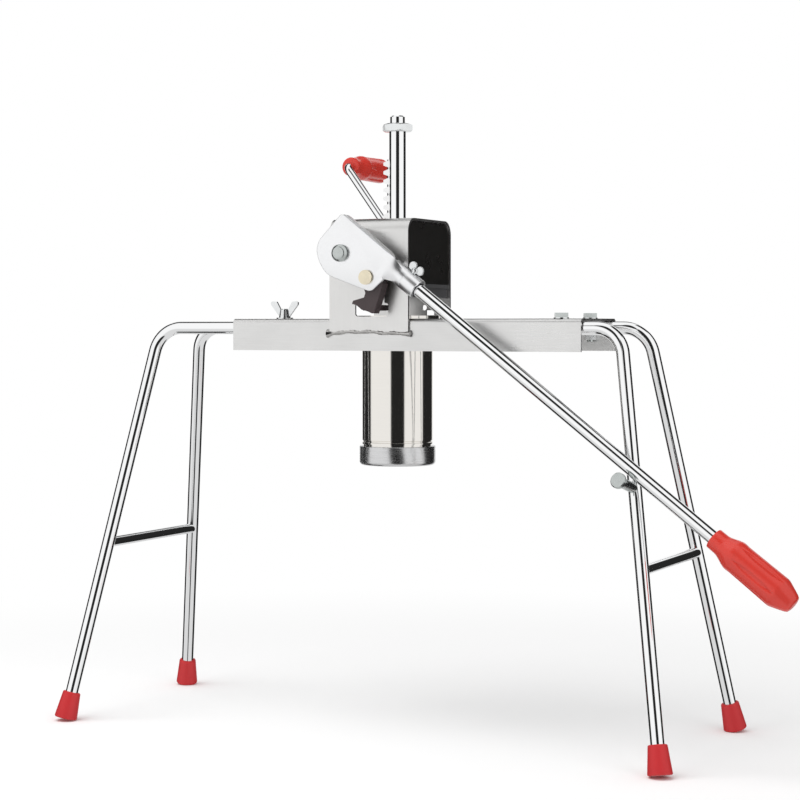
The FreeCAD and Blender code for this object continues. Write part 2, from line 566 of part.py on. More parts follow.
# ---------------------------------------------------------------------------------------------------------------
# Mechanism housing, its covers and welds
# ---------------------------------------------------------------------------------------------------------------
def make_housing():
    housing = new_body("housing")
    inner = "beam_width / 2"
    ceiling = "housing_top - housing_wall"
    profile = outline(housing, "YZ_Plane", [
        ("0 - housing_half", "housing_bottom"), ("0 - housing_half", "housing_top"),
        ("housing_half", "housing_top"), ("housing_half", "housing_bottom"), (inner, "housing_bottom"),
        (inner, ceiling), ("0 - " + inner, ceiling), ("0 - " + inner, "housing_bottom")])
    pad(housing, profile, "housing_right", back="housing_left")
    round_edges(housing, "housing_bend", lambda edge, middle, direction:
                near(abs(direction.x), 1) and near(middle.z, size("housing_top")))
    round_edges(housing, "housing_bend - housing_wall", lambda edge, middle, direction:
                near(abs(direction.x), 1) and near(middle.z, size("housing_top") - size("housing_wall"))
                and near(abs(middle.y), size("beam_width") / 2))
    sill, head = "window_bottom", "window_bottom + window_height"
    crown = "window_bottom + window_height + claw_slot_rise"
    window = outline(housing, "XZ_Plane", [
        ("0 - window_left", sill), ("window_right", sill), ("window_right", head), ("claw_slot_half", head),
        ("claw_slot_half", crown), ("0 - claw_slot_half", crown), ("0 - claw_slot_half", head),
        ("0 - window_left", head)])
    pocket(housing, window, turned=True)
    corners = {(-size("window_left"), size("window_bottom")), (size("window_right"), size("window_bottom")),
               (-size("window_left"), size("window_bottom") + size("window_height")),
               (size("window_right"), size("window_bottom") + size("window_height"))}
    round_edges(housing, "window_round", lambda edge, middle, direction:
                near(abs(direction.y), 1) and middle.y < 0
                and any(near(middle.x, x) and near(middle.z, z) for x, z in corners))
    slot_low = "beam_top + rear_slot_rise"
    rear = outline(housing, "XZ_Plane", [
        ("rear_slot_centre - rear_slot_length / 2", slot_low), ("rear_slot_centre + rear_slot_length / 2", slot_low),
        ("rear_slot_centre + rear_slot_length / 2", slot_low + " + rear_slot_height"),
        ("rear_slot_centre - rear_slot_length / 2", slot_low + " + rear_slot_height")])
    pocket(housing, rear)
    pocket(housing, circles(housing, "XZ_Plane", [
        ("rear_hole_centre", "beam_top + rear_hole_rise", "rear_hole_diameter / 2")]))
    pocket(housing, circles(housing, "XZ_Plane", [("shaft_x", "shaft_height", "bush_diameter / 2")]), both=True)
    pocket(housing, circles(housing, "XY_Plane", [("0", "0", "guide_diameter / 2")]), turned=True)
    return housing


def weld_outline(height, thickness):
    """The bead's outline at one height over the beam's face, as a closed curve that wanders and swells."""
    left, right = -size("housing_left"), size("housing_right")
    count = int((right - left) / (4.4 * size("weld_radius")))
    lower, upper = [], []
    for number in range(count + 1):
        share = number / count
        wander = math.sin(2 * math.pi * share - 0.9) - 0.35
        swell = 1.3 if number in (0, count) else 1 + 0.1 * math.sin(2.3 * number)
        x = left + share * (right - left)
        lower.append(V(x, height, size("housing_bottom") + wander - thickness * swell))
        upper.append(V(x, height, size("housing_bottom") + wander + thickness * swell))
    curve = Part.BSplineCurve()
    curve.interpolate(lower + upper[::-1], PeriodicFlag=True)
    return Part.Wire(curve.toShape())


def make_welds():
    """A hand-run bead along the foot of both housing plates, rounded over and with a blob at each end."""
    radius, half, low = size("weld_radius"), size("housing_half"), size("housing_bottom")
    left, right = -size("housing_left"), size("housing_right")
    foot = size("beam_width") / 2
    crest = half + 0.5 * radius
    plates = Part.makeBox(right - left, 2 * half, 4 * radius, V(left, -half, low))
    beads = []
    for side in (-1, 1):
        rings = [weld_outline(side * (foot + (crest - foot) * rise), radius * narrow)
                 for rise, narrow in ((0, 1), (0.7, 0.86), (1, 0.45))]
        bead = Part.makeLoft(rings, True).cut(plates)
        beads.append(max(bead.Solids, key=lambda solid: solid.Volume))
    made("housing_welds", Part.makeCompound(beads))


def make_end(side):
    """The black cover in one end of the housing, and the grey lipped skirt below it."""
    hand = SIDES[side]
    cover = new_body("end_cover_" + side)
    half = "(beam_width / 2 - cover_gap)"
    top = "(housing_top - housing_wall - cover_gap)"
    low = "(housing_top - cover_drop)"
    pad(cover, outline(cover, "YZ_Plane", [("0 - " + half, low), (half, low), (half, top), ("0 - " + half, top)]),
        "cover_thickness")
    round_edges(cover, "housing_bend - housing_wall", lambda edge, middle, direction:
                near(abs(direction.x), 1) and middle.z > size("housing_top") - size("housing_bend"))
    put(cover, (f"cover_{side}_x", "0", "0"))
    face = "cover_left_x + cover_thickness" if hand < 0 else "cover_right_x - skirt_thickness"
    lip_from = "cover_left_x" if hand < 0 else "cover_right_x"
    plate = box(f"skirt_plate_{side}", "skirt_thickness", f"2 * {half}", "skirt_drop - cover_drop + skirt_lap",
                (face, "0 - " + half, "housing_top - skirt_drop"))
    lip = box(f"skirt_lip_{side}", "cover_thickness", f"2 * {half}", "skirt_lip",
              (lip_from, "0 - " + half, f"{low} - skirt_lip - cover_gap"))
    fuse("end_skirt_" + side, [plate, lip])


def make_shaft_bush(name, sign):
    """A flanged bush in one housing plate, its flange on the inside."""
    plate = "(housing_half - housing_wall)"
    sleeve_y = plate if sign > 0 else "0 - housing_half"
    flange_y = f"{plate} - bush_flange_thickness" if sign > 0 else f"0 - {plate}"
    sleeve = cylinder(name + "_sleeve", "bush_diameter / 2", "housing_wall",
                      ("shaft_x", sleeve_y, "shaft_height"), "y")
    flange = cylinder(name + "_flange", "bush_flange_diameter / 2", "bush_flange_thickness",
                      ("shaft_x", flange_y, "shaft_height"), "y")
    bore = cylinder(name + "_bore", "shaft_radius + running_gap", "beam_width", ("shaft_x", f"{sign} * beam_width / 2 "
                    "- beam_width / 2", "shaft_height"), "y")
    cut(name, fuse(name + "_body", [sleeve, flange]), bore)


def make_rod_guide():
    """A flanged ring in the housing's roof, bored for the rod and notched for the rack."""
    ceiling = "(housing_top - housing_wall)"
    sleeve = cylinder("guide_sleeve", "guide_diameter / 2", "housing_wall", ("0", "0", ceiling))
    flange = cylinder("guide_flange", "guide_flange_diameter / 2", "guide_flange_height",
                      ("0", "0", f"{ceiling} - guide_flange_height"))
    bore = cylinder("guide_bore", "rod_radius + running_gap", "6 * guide_flange_height",
                    ("0", "0", f"{ceiling} - 3 * guide_flange_height"))
    notch = box("guide_notch", "rack_tip + guide_notch_gap", "rack_width + 2 * guide_notch_gap",
                "6 * guide_flange_height",
                ("0 - rack_tip - guide_notch_gap", "0 - rack_width / 2 - guide_notch_gap",
                 f"{ceiling} - 3 * guide_flange_height"))
    cut("rod_guide", fuse("guide_body", [sleeve, flange]), bore, notch)


# ---------------------------------------------------------------------------------------------------------------
# Barrel, die and cap
# ---------------------------------------------------------------------------------------------------------------
def make_barrel():
    """A tube let down through the beam, hung by a flange that four countersunk screws hold to the web."""
    blank = new_body("barrel_tube")
    shoulder = "barrel_bottom + neck_length"
    groove = "barrel_radius - groove_depth"
    flange_top = "(beam_top + flange_thickness)"
    revolve(blank, [
        ("bore_radius", "barrel_bottom"), ("neck_diameter / 2", "barrel_bottom"),
        ("neck_diameter / 2", shoulder), ("barrel_radius", shoulder),
        ("barrel_radius", shoulder + " + groove_rise"), (groove, shoulder + " + groove_rise + groove_depth"),
        (groove, shoulder + " + groove_rise + groove_depth + groove_width"),
        ("barrel_radius", shoulder + " + groove_rise + 2 * groove_depth + groove_width"),
        ("barrel_radius", "beam_top"), ("flange_diameter / 2", "beam_top"), ("flange_diameter / 2", flange_top),
        ("bore_radius", flange_top)])
    rooms, screws = [], []
    for a in (-1, 1):
        for b in (-1, 1):
            at = (f"{a} * flange_screw_circle / 2 / sqrt(2)", f"{b} * flange_screw_circle / 2 / sqrt(2)")
            for use, group in (("room", rooms), ("screw", screws)):
                tag = f"{use}_{a + 1}{b + 1}"
                shank = cylinder("flange_shank_" + tag, "flange_screw_diameter / 2",
                                 "beam_wall + flange_thickness", at + ("web_bottom",))
                head = bind(doc.addObject("Part::Cone", "flange_head_" + tag), Radius1="flange_screw_diameter / 2",
                            Radius2="screw_head_diameter / 2", Height="screw_head_height")
                put(head, at + (f"{flange_top} - screw_head_height",))
                group.append(fuse("flange_" + tag, [shank, head]))
    cut("barrel", blank, *rooms)
    group = doc.addObject("Part::Compound", "barrel_screws")
    group.Links = screws


def make_die():
    """A disc with a hexagonal grid of round holes."""
    radius = size("neck_diameter") / 2 - size("bore_gap")
    thickness, pitch, hole = size("die_thickness"), size("die_hole_pitch"), size("die_hole_diameter") / 2
    bottom = V(0, 0, size("barrel_bottom") - thickness)
    disc = Part.makeCylinder(radius, thickness, bottom)
    reach = size("cap_opening") / 2 - size("die_rim") / 2 - hole
    rows = int(reach / pitch) + 2
    drills = []
    for row in range(-rows, rows + 1):
        for column in range(-rows, rows + 1):
            at = V(pitch * (column + row / 2), pitch * row * math.sqrt(3) / 2, 0)
            if at.Length < reach:
                drills.append(Part.makeCylinder(hole, 3 * thickness, bottom + at - V(0, 0, thickness)))
    made("die_plate", disc.cut(drills))


def make_die_cap():
    cap = new_body("die_cap")
    inner = "neck_diameter / 2 + thread_gap"
    top = "cap_bottom + cap_height"
    revolve(cap, [("cap_opening / 2", "cap_bottom"), ("cap_diameter / 2", "cap_bottom"),
                  ("cap_diameter / 2", top), (inner, top), (inner, "cap_bottom + cap_lip"),
                  ("cap_opening / 2", "cap_bottom + cap_lip")])
    round_edges(cap, "cap_round", lambda edge, middle, direction:
                near(math.hypot(middle.x, middle.y), size("cap_diameter") / 2)
                and near(middle.z, size("cap_bottom")))
    round_edges(cap, "cap_edge_round", lambda edge, middle, direction:
                near(math.hypot(middle.x, middle.y), size("cap_diameter") / 2)
                and near(middle.z, size("cap_bottom") + size("cap_height")))


# ---------------------------------------------------------------------------------------------------------------
# Plunger
# ---------------------------------------------------------------------------------------------------------------
def make_plunger():
    rod = new_body("plunger_bar")
    piston_top = "piston_bottom + piston_height"
    spigot_end = "piston_bottom - piston_nut_height - 1"
    revolve(rod, [("0", spigot_end), ("spigot_diameter / 2", spigot_end), ("spigot_diameter / 2", piston_top),
                  ("rod_radius", piston_top), ("rod_radius", "rod_nut_bottom"),
                  ("stud_diameter / 2", "rod_nut_bottom"), ("stud_diameter / 2", "rod_top - 1.2"),
                  ("stud_diameter / 2 - 1.2", "rod_top"), ("0", "rod_top")])
    keyway = box("rod_keyway", "rod_radius", "rack_width", "rack_teeth * rack_pitch",
                 ("0 - rack_back - rod_radius", "0 - rack_width / 2", "rack_bottom"))
    cut("plunger_rod", rod, keyway)
    hexa = hexagon("rod_nut_block", "rod_nut_flats", "rod_nut_height", ("0", "0", "rod_nut_bottom"))
    cut("rod_nut", hexa, cylinder("rod_nut_hole", "stud_diameter / 2", "3 * rod_nut_height",
                                  ("0", "0", "rod_nut_bottom - rod_nut_height")))
    piston = new_body("piston")
    skin, groove = "bore_radius - piston_gap", "bore_radius - piston_gap - seal_section + 0.6"
    low, high = "piston_bottom + piston_height / 2 - seal_section / 2", "piston_bottom + piston_height / 2 " \
        "+ seal_section / 2"
    revolve(piston, [("spigot_diameter / 2", "piston_bottom"), (skin, "piston_bottom"), (skin, low), (groove, low),
                     (groove, high), (skin, high), (skin, piston_top), ("spigot_diameter / 2", piston_top)])
    seal = new_body("piston_seal")
    revolve(seal, [(groove, low), ("bore_radius - running_gap", low), ("bore_radius - running_gap", high),
                   (groove, high)])
    nut = hexagon("piston_nut_block", "piston_nut_flats", "piston_nut_height",
                  ("0", "0", "piston_bottom - piston_nut_height"))
    cut("piston_nut", nut, cylinder("piston_nut_hole", "spigot_diameter / 2", "3 * piston_nut_height",
                                    ("0", "0", "piston_bottom - 2 * piston_nut_height")))


def make_rack():
    """A toothed bar let into the rod's keyway: straight flanks, a gap centred on the pinion's axis."""
    pitch, line, tip, root = size("rack_pitch"), size("rack_line"), size("rack_tip"), size("rack_root")
    slope = math.tan(math.radians(size("pressure_angle")))
    half = pitch / 4 - size("tooth_backlash") / 2
    bottom = size("rack_bottom")
    points = [V(-size("rack_back"), 0, bottom), V(-root, 0, bottom)]
    for tooth in range(int(round(size("rack_teeth")))):
        centre = bottom + (tooth + 0.5) * pitch
        at_root, at_tip = half + (line - root) * slope, half - (tip - line) * slope
        points += [V(-root, 0, centre - at_root), V(-tip, 0, centre - at_tip), V(-tip, 0, centre + at_tip),
                   V(-root, 0, centre + at_root)]
    top = size("rack_top")
    points += [V(-root, 0, top), V(-size("rack_back"), 0, top)]
    face = Part.Face(Part.makePolygon(points + points[:1]))
    solid = face.extrude(V(0, size("rack_width"), 0))
    solid.translate(V(0, -size("rack_width") / 2, 0))
    made("rack", solid)


# ---------------------------------------------------------------------------------------------------------------
# Pinion, shaft and crank
# ---------------------------------------------------------------------------------------------------------------
def involute_flank(base, tip, steps=6):
    """Points of an involute from its base circle to the tip, as (radius, angle) pairs."""
    flank = []
    for step in range(steps + 1):
        radius = base + (tip - base) * step / steps
        roll = math.sqrt((radius / base) ** 2 - 1)
        flank.append((radius, roll - math.atan(roll)))
    return flank


def make_pinion():
    """A spur pinion with involute flanks, one tooth pointing at the rack."""
    teeth = int(round(size("pinion_teeth")))
    radius, root = size("pinion_radius"), size("pinion_root")
    pressure = math.radians(size("pressure_angle"))
    base, tip = radius * math.cos(pressure), radius + size("pinion_addendum")
    half = (size("rack_pitch") / 4 - size("tooth_backlash") / 2) / radius + math.tan(pressure) - pressure
    points = []
    for tooth in range(teeth):
        middle = 2 * math.pi * tooth / teeth
        rising = [(root, -half)] + [(r, a - half) for r, a in involute_flank(base, tip)]
        falling = [(r, -a) for r, a in reversed(rising)]
        points += [V(r * math.cos(middle + a), 0, r * math.sin(middle + a)) for r, a in rising + falling]
    face = Part.Face(Part.makePolygon(points + points[:1]))
    width = size("pinion_width")
    gear = face.extrude(V(0, width, 0))
    gear.translate(V(size("shaft_x"), -width / 2, size("shaft_height")))
    hole = Part.makeCylinder(size("shaft_radius"), 3 * width, V(size("shaft_x"), -1.5 * width, size("shaft_height")),
                             V(0, 1, 0))
    made("pinion", gear.cut(hole))


def make_shaft():
    front, rear = "(plate_front + plate_air + pivot_cap_height)", "(crank_plane + crank_hub_length / 2)"
    cylinder("crank_shaft", "shaft_radius", f"{front} + {rear} - 1", ("shaft_x", f"1 - {front}", "shaft_height"),
             "y")
    cap = new_body("pivot_cap_body")
    revolve(cap, [("0", "0"), ("pivot_cap_diameter / 2", "0"),
                  ("pivot_cap_diameter / 2", "pivot_cap_height - pivot_cap_bevel / 2"),
                  ("pivot_cap_diameter / 2 - pivot_cap_bevel", "pivot_cap_height"), ("0", "pivot_cap_height")])
    cap.Placement = along(V(size("shaft_x"), -size("plate_front") - size("plate_air"), size("shaft_height")),
                          V(0, -1, 0))
    cut("pivot_cap", cap, cylinder("pivot_cap_hole", "shaft_radius", f"{front} - 1",
                                   ("shaft_x", f"1 - {front}", "shaft_height"), "y"))


def crank_direction():
    lean = math.radians(size("crank_lean"))
    return V(-math.sin(lean), 0, math.cos(lean))


def make_crank():
    """The hub on the shaft, the rod bent back into the grip's spindle, and the hub's grub screw."""
    centre = V(size("shaft_x"), size("crank_plane"), size("shaft_height"))
    out, back = crank_direction(), V(0, 1, 0)
    radius, bend = size("crank_rod_diameter") / 2, size("crank_bend")
    corner = centre + out * size("crank_length")
    start = centre + out * (size("shaft_radius") + 0.5)
    grip_end = corner + back * (bend + size("crank_grip_length") - size("grip_end_wall"))
    middle = corner - out * bend + back * bend + (out - back).normalize() * bend
    path = Part.Wire([
        Part.LineSegment(start, corner - out * bend).toShape(),
        Part.Arc(corner - out * bend, middle, corner + back * bend).toShape(),
        Part.LineSegment(corner + back * bend, grip_end).toShape()])
    ring = Part.Wire(Part.Circle(start, out, radius).toShape())
    rod = path.makePipeShell([ring], True, False)
    made("crank_arm", rod)
    hub = Part.makeCylinder(size("crank_hub_diameter") / 2, size("crank_hub_length"),
                            centre - back * (size("crank_hub_length") / 2), back)
    screw_line = out.cross(back)
    screw = Part.makeCylinder(size("hub_screw_diameter") / 2, size("crank_hub_diameter") / 2
                              - size("shaft_radius") - 0.8, centre + screw_line * size("shaft_radius"), screw_line)
    shaft = Part.makeCylinder(size("shaft_radius"), 3 * size("crank_hub_length"),
                              centre - back * (1.5 * size("crank_hub_length")), back)
    made("crank_hub", hub.cut([shaft, rod, screw]))
    made("hub_screw", screw.cut(shaft))


def make_grip(name, length, collar, body, core, placement, flutes=8):
    """A moulded grip about its Z axis: collar, cone, fluted body and a blunt end, closed over its core."""
    blank = new_body(name + "_blank")
    depth = f"{length} - grip_end_wall"
    profile = [(core, "0"), (f"{collar} / 2 - 0.8", "0"), (f"{collar} / 2", "0.8"),
               (f"{collar} / 2", f"{length} * 0.09"), (f"{body} / 2 - 1.2", f"{length} * 0.29"),
               (f"{body} / 2", f"{length} * 0.84"), (f"{body} / 2 - 3.6", f"{length} * 0.985"),
               (f"{body} / 2 - 5", length), ("0", length), ("0", depth), (core, depth)]
    revolve(blank, profile)
    groove_radius = 1.1
    cuts = []
    for number in range(flutes):
        turn = 2 * math.pi * number / flutes
        reach = size(body) / 2 + 0.1
        groove = Part.makeCylinder(groove_radius, size(length) * 0.5, V(reach, 0, size(length) * 0.32))
        groove = groove.fuse([Part.makeSphere(groove_radius, V(reach, 0, size(length) * 0.32)),
                              Part.makeSphere(groove_radius, V(reach, 0, size(length) * 0.82))])
        groove.rotate(V(), V(0, 0, 1), math.degrees(turn))
        cuts.append(groove)
    doc.recompute()
    grip = made(name, blank.Shape.cut(cuts))
    grip.Placement = placement
    return grip


# ---------------------------------------------------------------------------------------------------------------
# Lever plate, socket, tube and grip
# ---------------------------------------------------------------------------------------------------------------
def lever_axes():
    """Unit vectors along the lever and square to it in the plate's plane, and along the splayed tube."""
    pitch, splay = math.radians(size("lever_pitch")), math.radians(size("lever_splay"))
    u = V(math.cos(pitch), 0, -math.sin(pitch))
    v = V(math.sin(pitch), 0, math.cos(pitch))
    tube = u * math.cos(splay) + V(0, -math.sin(splay), 0)
    return u, v, tube


def on_lever(distance):
    """A point of the tube's axis, counted outwards from the socket's mouth."""
    u, v, tube = lever_axes()
    pivot = V(size("shaft_x"), 0, size("shaft_height"))
    mouth = pivot + u * size("socket_mouth") + v * size("lever_offset") + V(0, -size("socket_plane"), 0)
    return mouth + tube * distance


# corners of the plate along and square to the lever, from the pivot, and the radius that rounds each
PLATE_CORNERS = [(-21.5, 32), (-27, -9.5), (-11.5, -22.5), (2, -25), (48, -11), (51.8, 6.5)]
PLATE_ROUNDS = [4, 9, 9, 7, 4, 3]


def make_lever_plate():
    """Pressed plate: flat face, a flange folded back along its upper edge, a neck welded over the socket."""
    u, v, tube = lever_axes()
    plate = new_body("lever_plate_blank")
    end = "(socket_mouth - socket_bare)"
    low, high = "(lever_offset - socket_diameter / 2)", "(lever_offset + socket_diameter / 2 + plate_bend)"
    left, top = PLATE_CORNERS[0]
    corners = [(str(a), str(b)) for a, b in PLATE_CORNERS] + [(end, low + " + plate_bend"), (end, high)]
    pad(plate, outline(plate, "XZ_Plane", corners), "plate_thickness")
    for (a, b), radius in zip(PLATE_CORNERS, PLATE_ROUNDS):
        round_edges(plate, str(radius), lambda edge, middle, direction:
                    near(abs(direction.y), 1) and near(middle.x, a) and near(middle.z, b))
    slope = f"(({top} - {high}) / ({end} - ({left})))"
    near_end, far_end = f"({left} + plate_flange_inset)", f"({end} - plate_bend)"
    flange = [(u_at, f"{top} - {slope} * ({u_at} - ({left})){drop}") for u_at, drop in (
        (near_end, ""), (far_end, ""), (far_end, " - plate_flange_thickness"),
        (near_end, " - plate_flange_thickness"))]
    pad(plate, outline(plate, "XZ_Plane", flange), "plate_flange_depth", turned=True)
    round_edges(plate, "plate_bend", lambda edge, middle, direction:
                near(middle.y, -size("plate_thickness")) and near(abs(direction.y), 0)
                and (middle.z > size("lever_offset") + size("socket_diameter") / 2 and abs(direction.x) > 0.9
                     or near(middle.x, size("socket_mouth") - size("socket_bare"))))
    pocket(plate, circles(plate, "XZ_Plane", [
        ("0", "0", "shaft_radius + running_gap"), ("rivet_along", "0 - rivet_below", "rivet_pin_diameter / 2")]),
        both=True)
    put(plate, ("shaft_x", "0 - plate_back", "shaft_height"), (V(0, 1, 0), size("lever_pitch")))
    plate.setExpression("Placement.Rotation.Angle", formula("lever_pitch"))
    outer = bind(doc.addObject("Part::Cylinder", "socket_room"), Radius="socket_diameter / 2",
                 Height="socket_length + 10")
    outer.Placement = along(on_lever(-size("socket_length")), tube)
    screw = bind(doc.addObject("Part::Cylinder", "set_screw_room"), Radius="set_screw_diameter / 2 + thread_gap",
                 Height="set_screw_height + 10")
    screw.Placement = along(on_lever(-size("set_screw_back")), v)
    cut("lever_plate", plate, outer, screw)
    hub = cylinder("lever_hub_blank", "lever_hub_diameter / 2", "plate_back - housing_half - 1",
                   ("shaft_x", "0 - plate_back", "shaft_height"), "y")
    cut("lever_hub", hub, cylinder("lever_hub_bore", "shaft_radius + running_gap", "2 * plate_back",
                                   ("shaft_x", "0 - 2 * plate_back", "shaft_height"), "y"))


def make_socket():
    u, v, tube = lever_axes()
    length, gap = size("socket_length"), size("running_gap")
    outer = Part.makeCylinder(size("socket_diameter") / 2, length, on_lever(-length), tube)
    bore = Part.makeCylinder(size("lever_radius") + gap, length - 2, on_lever(2 - length), tube)
    mouth = Part.makeCylinder(size("mouth_bore") / 2, size("mouth_depth"), on_lever(-size("mouth_depth")), tube)
    thread = Part.makeCylinder(size("set_screw_diameter") / 2 + size("thread_gap"), size("socket_diameter"),
                               on_lever(-size("set_screw_back")), v)
    made("lever_socket", outer.cut([bore, mouth, thread]))


def make_lever_tube():
    """The chromed lever tube, pushed into the socket at one end and into its grip at the other."""
    u, v, tube = lever_axes()
    inside, exposed = size("lever_insert"), size("lever_exposed")
    length = inside + exposed + size("lever_grip_length") - size("grip_end_wall")
    outer = Part.makeCylinder(size("lever_radius"), length, on_lever(-inside), tube)
    bore = Part.makeCylinder(size("lever_radius") - size("lever_wall"), length, on_lever(-inside), tube)
    made("lever_tube", outer.cut(bore))
    make_grip("lever_grip", "lever_grip_length", "lever_grip_collar", "lever_grip_body", "lever_radius",
              along(on_lever(exposed), tube))


def make_set_screw():
    """A butterfly screw, square to the tube, whose end bears on it."""
    u, v, tube = lever_axes()
    seat = on_lever(-size("set_screw_back")) + v * (size("lever_radius") + 0.1)
    height, wing_foot = size("set_screw_height") - size("lever_radius"), size("set_screw_height") * 0.3
    wings = make_wings("set_screw_wings", "set_screw_wing", "set_screw_height - lever_radius - "
                       "set_screw_height * 0.3", "set_screw_hub", "wing_thickness")
    turn = FreeCAD.Rotation(u, V(0, -1, 0).cross(v) * -1, v, "ZXY")
    wings.Placement = FreeCAD.Placement(seat + v * wing_foot, turn)
    doc.recompute()
    shank = Part.makeCylinder(size("set_screw_diameter") / 2, wing_foot + height * 0.25, seat, v)
    hub = Part.makeCone(size("set_screw_hub") / 2, size("set_screw_hub") / 2 - 1, height * 0.3,
                        seat + v * wing_foot, v)
    made("set_screw", shank.fuse([hub, wings.Shape]).removeSplitter())


# ---------------------------------------------------------------------------------------------------------------
# Pawl and its rivet
# ---------------------------------------------------------------------------------------------------------------
# pairs of x and height: the foot's heights count from its lowest point, the head's from the rivet
PAWL_FOOT = [(5.9, 0), (3.8, 0), (-0.2, 1.8), (-7, 3.6), (-12.5, 7.9), (-17.3, 9.1), (-16, 12.2), (-4.4, 15.2),
             (-3, 19.5)]
PAWL_HEAD = [(-6, -6), (-9, 0), (-6, 7), (2, 9.6), (10, 7), (13, 0), (15.2, -6), (12.6, -15)]


def make_pawl():
    """A cast plate hung on the rivet, with a claw that reaches through the window round to the rack."""
    plate = new_body("pawl_plate")
    foot = [(str(x), f"{z} - pawl_drop") for x, z in PAWL_FOOT]
    head = [(str(x), str(z)) for x, z in PAWL_HEAD]
    pad(plate, outline(plate, "XZ_Plane", foot + head), "pawl_thickness")
    pocket(plate, circles(plate, "XZ_Plane", [("0", "0", "rivet_pin_diameter / 2 + running_gap")]), both=True)
    put(plate, ("rivet_x", "0 - pawl_back", "rivet_z"))
    claw_span = "(pawl_back + 1 - claw_inner)"
    shank = box("claw_shank", "claw_left + claw_right", claw_span, "claw_height",
                ("0 - claw_left", "0 - pawl_back - 1", "claw_z"))
    nose_tip = "(0 - rack_tip - claw_gap)"
    bar = box("claw_cross_bar", f"claw_right - {nose_tip} + claw_nose", "claw_bar", "claw_height",
              (f"{nose_tip} - claw_nose", "0 - claw_inner - claw_bar", "claw_z"))
    nose = box("claw_nose_block", "claw_nose", "claw_inner + claw_bar + rack_width / 2 - 0.5", "claw_height",
               (f"{nose_tip} - claw_nose", "0 - claw_inner - claw_bar", "claw_z"))
    fuse("pawl", [plate, shank, bar, nose])


def make_pawl_rivet():
    at = ("rivet_x", "rivet_z")
    head = cylinder("rivet_head", "rivet_head_diameter / 2", "rivet_head_height",
                    (at[0], "0 - plate_front - rivet_head_height", at[1]), "y")
    tail_y = "(pawl_back - plate_air)"
    pin = cylinder("rivet_pin", "rivet_pin_diameter / 2", f"plate_front - {tail_y}",
                   (at[0], "0 - plate_front", at[1]), "y")
    tail = cylinder("rivet_tail", "rivet_tail_diameter / 2", "rivet_tail_height",
                    (at[0], f"0 - {tail_y}", at[1]), "y")
    fuse("pawl_rivet", [head, pin, tail])


def make_lever_peg():
    """A headed peg welded to the front right leg, as low as the lever that rests on it asks."""
    corner, down = leg_line("right", "front")
    rise, turn = math.radians(size("peg_rise")), math.radians(size("peg_turn"))
    out = V(-math.sin(turn) * math.cos(rise), -math.cos(turn) * math.cos(rise), math.sin(rise))
    u, v, tube = lever_axes()
    across = out.cross(tube).normalize()
    apart = size("lever_radius") + size("peg_diameter") / 2 + size("peg_air")
    at = corner + down * (((on_lever(0) - corner).dot(across) - apart) / down.dot(across))
    peg = new_body("peg_blank")
    shoulder = "peg_length - peg_head_height"
    revolve(peg, [("0", "0"), ("peg_diameter / 2", "0"), ("peg_diameter / 2", shoulder),
                  ("peg_head_diameter / 2", shoulder), ("peg_head_diameter / 2", "peg_length - 0.8"),
                  ("peg_head_diameter / 2 - 0.8", "peg_length"), ("0", "peg_length")])
    peg.Placement = along(at, out)
    cut("lever_peg", peg, leg_core("right", "front"))


# ---------------------------------------------------------------------------------------------------------------
# The whole machine
# ---------------------------------------------------------------------------------------------------------------
make_beam()
for frame_side in SIDES:
    make_leg_frame(frame_side)
make_leg_bolts()
make_clamp()
make_wing_nut()
make_housing()
make_welds()
for frame_side in SIDES:
    make_end(frame_side)
make_shaft_bush("shaft_bush_front", -1)
make_shaft_bush("shaft_bush_rear", 1)
make_rod_guide()
make_barrel()
make_die()
make_die_cap()
make_plunger()
make_rack()
make_pinion()
make_shaft()
make_crank()
grip_corner = V(size("shaft_x"), size("crank_plane") + size("crank_bend") + 0.5, size("shaft_height"))
make_grip("crank_grip", "crank_grip_length", "crank_grip_collar", "crank_grip_body",
          "crank_rod_diameter / 2 + running_gap",
          along(grip_corner + crank_direction() * size("crank_length"), V(0, 1, 0)))
make_lever_plate()
make_socket()
make_lever_tube()
make_set_screw()
make_pawl()
make_pawl_rivet()
make_lever_peg()
doc.recompute()

NODES = [
    "beam", "housing", "housing_welds", "end_cover_left", "end_cover_right", "end_skirt_left", "end_skirt_right",
    "rod_guide", "shaft_bush_front", "shaft_bush_rear", "barrel", "barrel_screws", "die_plate", "die_cap",
    "leg_front_left", "leg_rear_left", "leg_front_right", "leg_rear_right", "crossbar_left", "crossbar_right",
    "foot_front_left", "foot_rear_left", "foot_front_right", "foot_rear_right", "leg_bolts", "leg_bolt_washers",
    "leg_bolt_nuts", "clamp_plate", "clamp_bolt", "clamp_washer", "wing_nut", "plunger_rod", "rack", "rod_nut",
    "piston", "piston_seal", "piston_nut", "pinion", "crank_shaft", "pivot_cap", "crank_hub", "hub_screw",
    "crank_arm", "crank_grip", "lever_plate", "lever_hub", "lever_socket", "lever_tube", "lever_grip",
    "set_screw", "pawl", "pawl_rivet", "lever_peg",
]

failed = [f.Name for f in doc.Objects if "Invalid" in f.State or "Error" in f.State]
assert not failed, f"features that failed: {failed}"
os.makedirs("parts", exist_ok=True)
for node in NODES:
    shape = doc.getObjectsByLabel(node)[0].Shape
    assert not shape.isNull() and shape.isValid() and shape.Volume > 0, f"{node} has no valid shape"
    shape.exportStep(f"parts/{node}.step")
    box_of = shape.BoundBox
    print(f"{node:20s} {len(shape.Solids)} solid(s) {shape.Volume:10.1f} mm3  "
          f"x {box_of.XMin:7.1f} {box_of.XMax:7.1f}  y {box_of.YMin:7.1f} {box_of.YMax:7.1f}  "
          f"z {box_of.ZMin:7.1f} {box_of.ZMax:7.1f}")
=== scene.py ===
"""Pasta extruder with crank: the look of a bright hand press on four tube legs, with red grips and feet."""
import json
import math

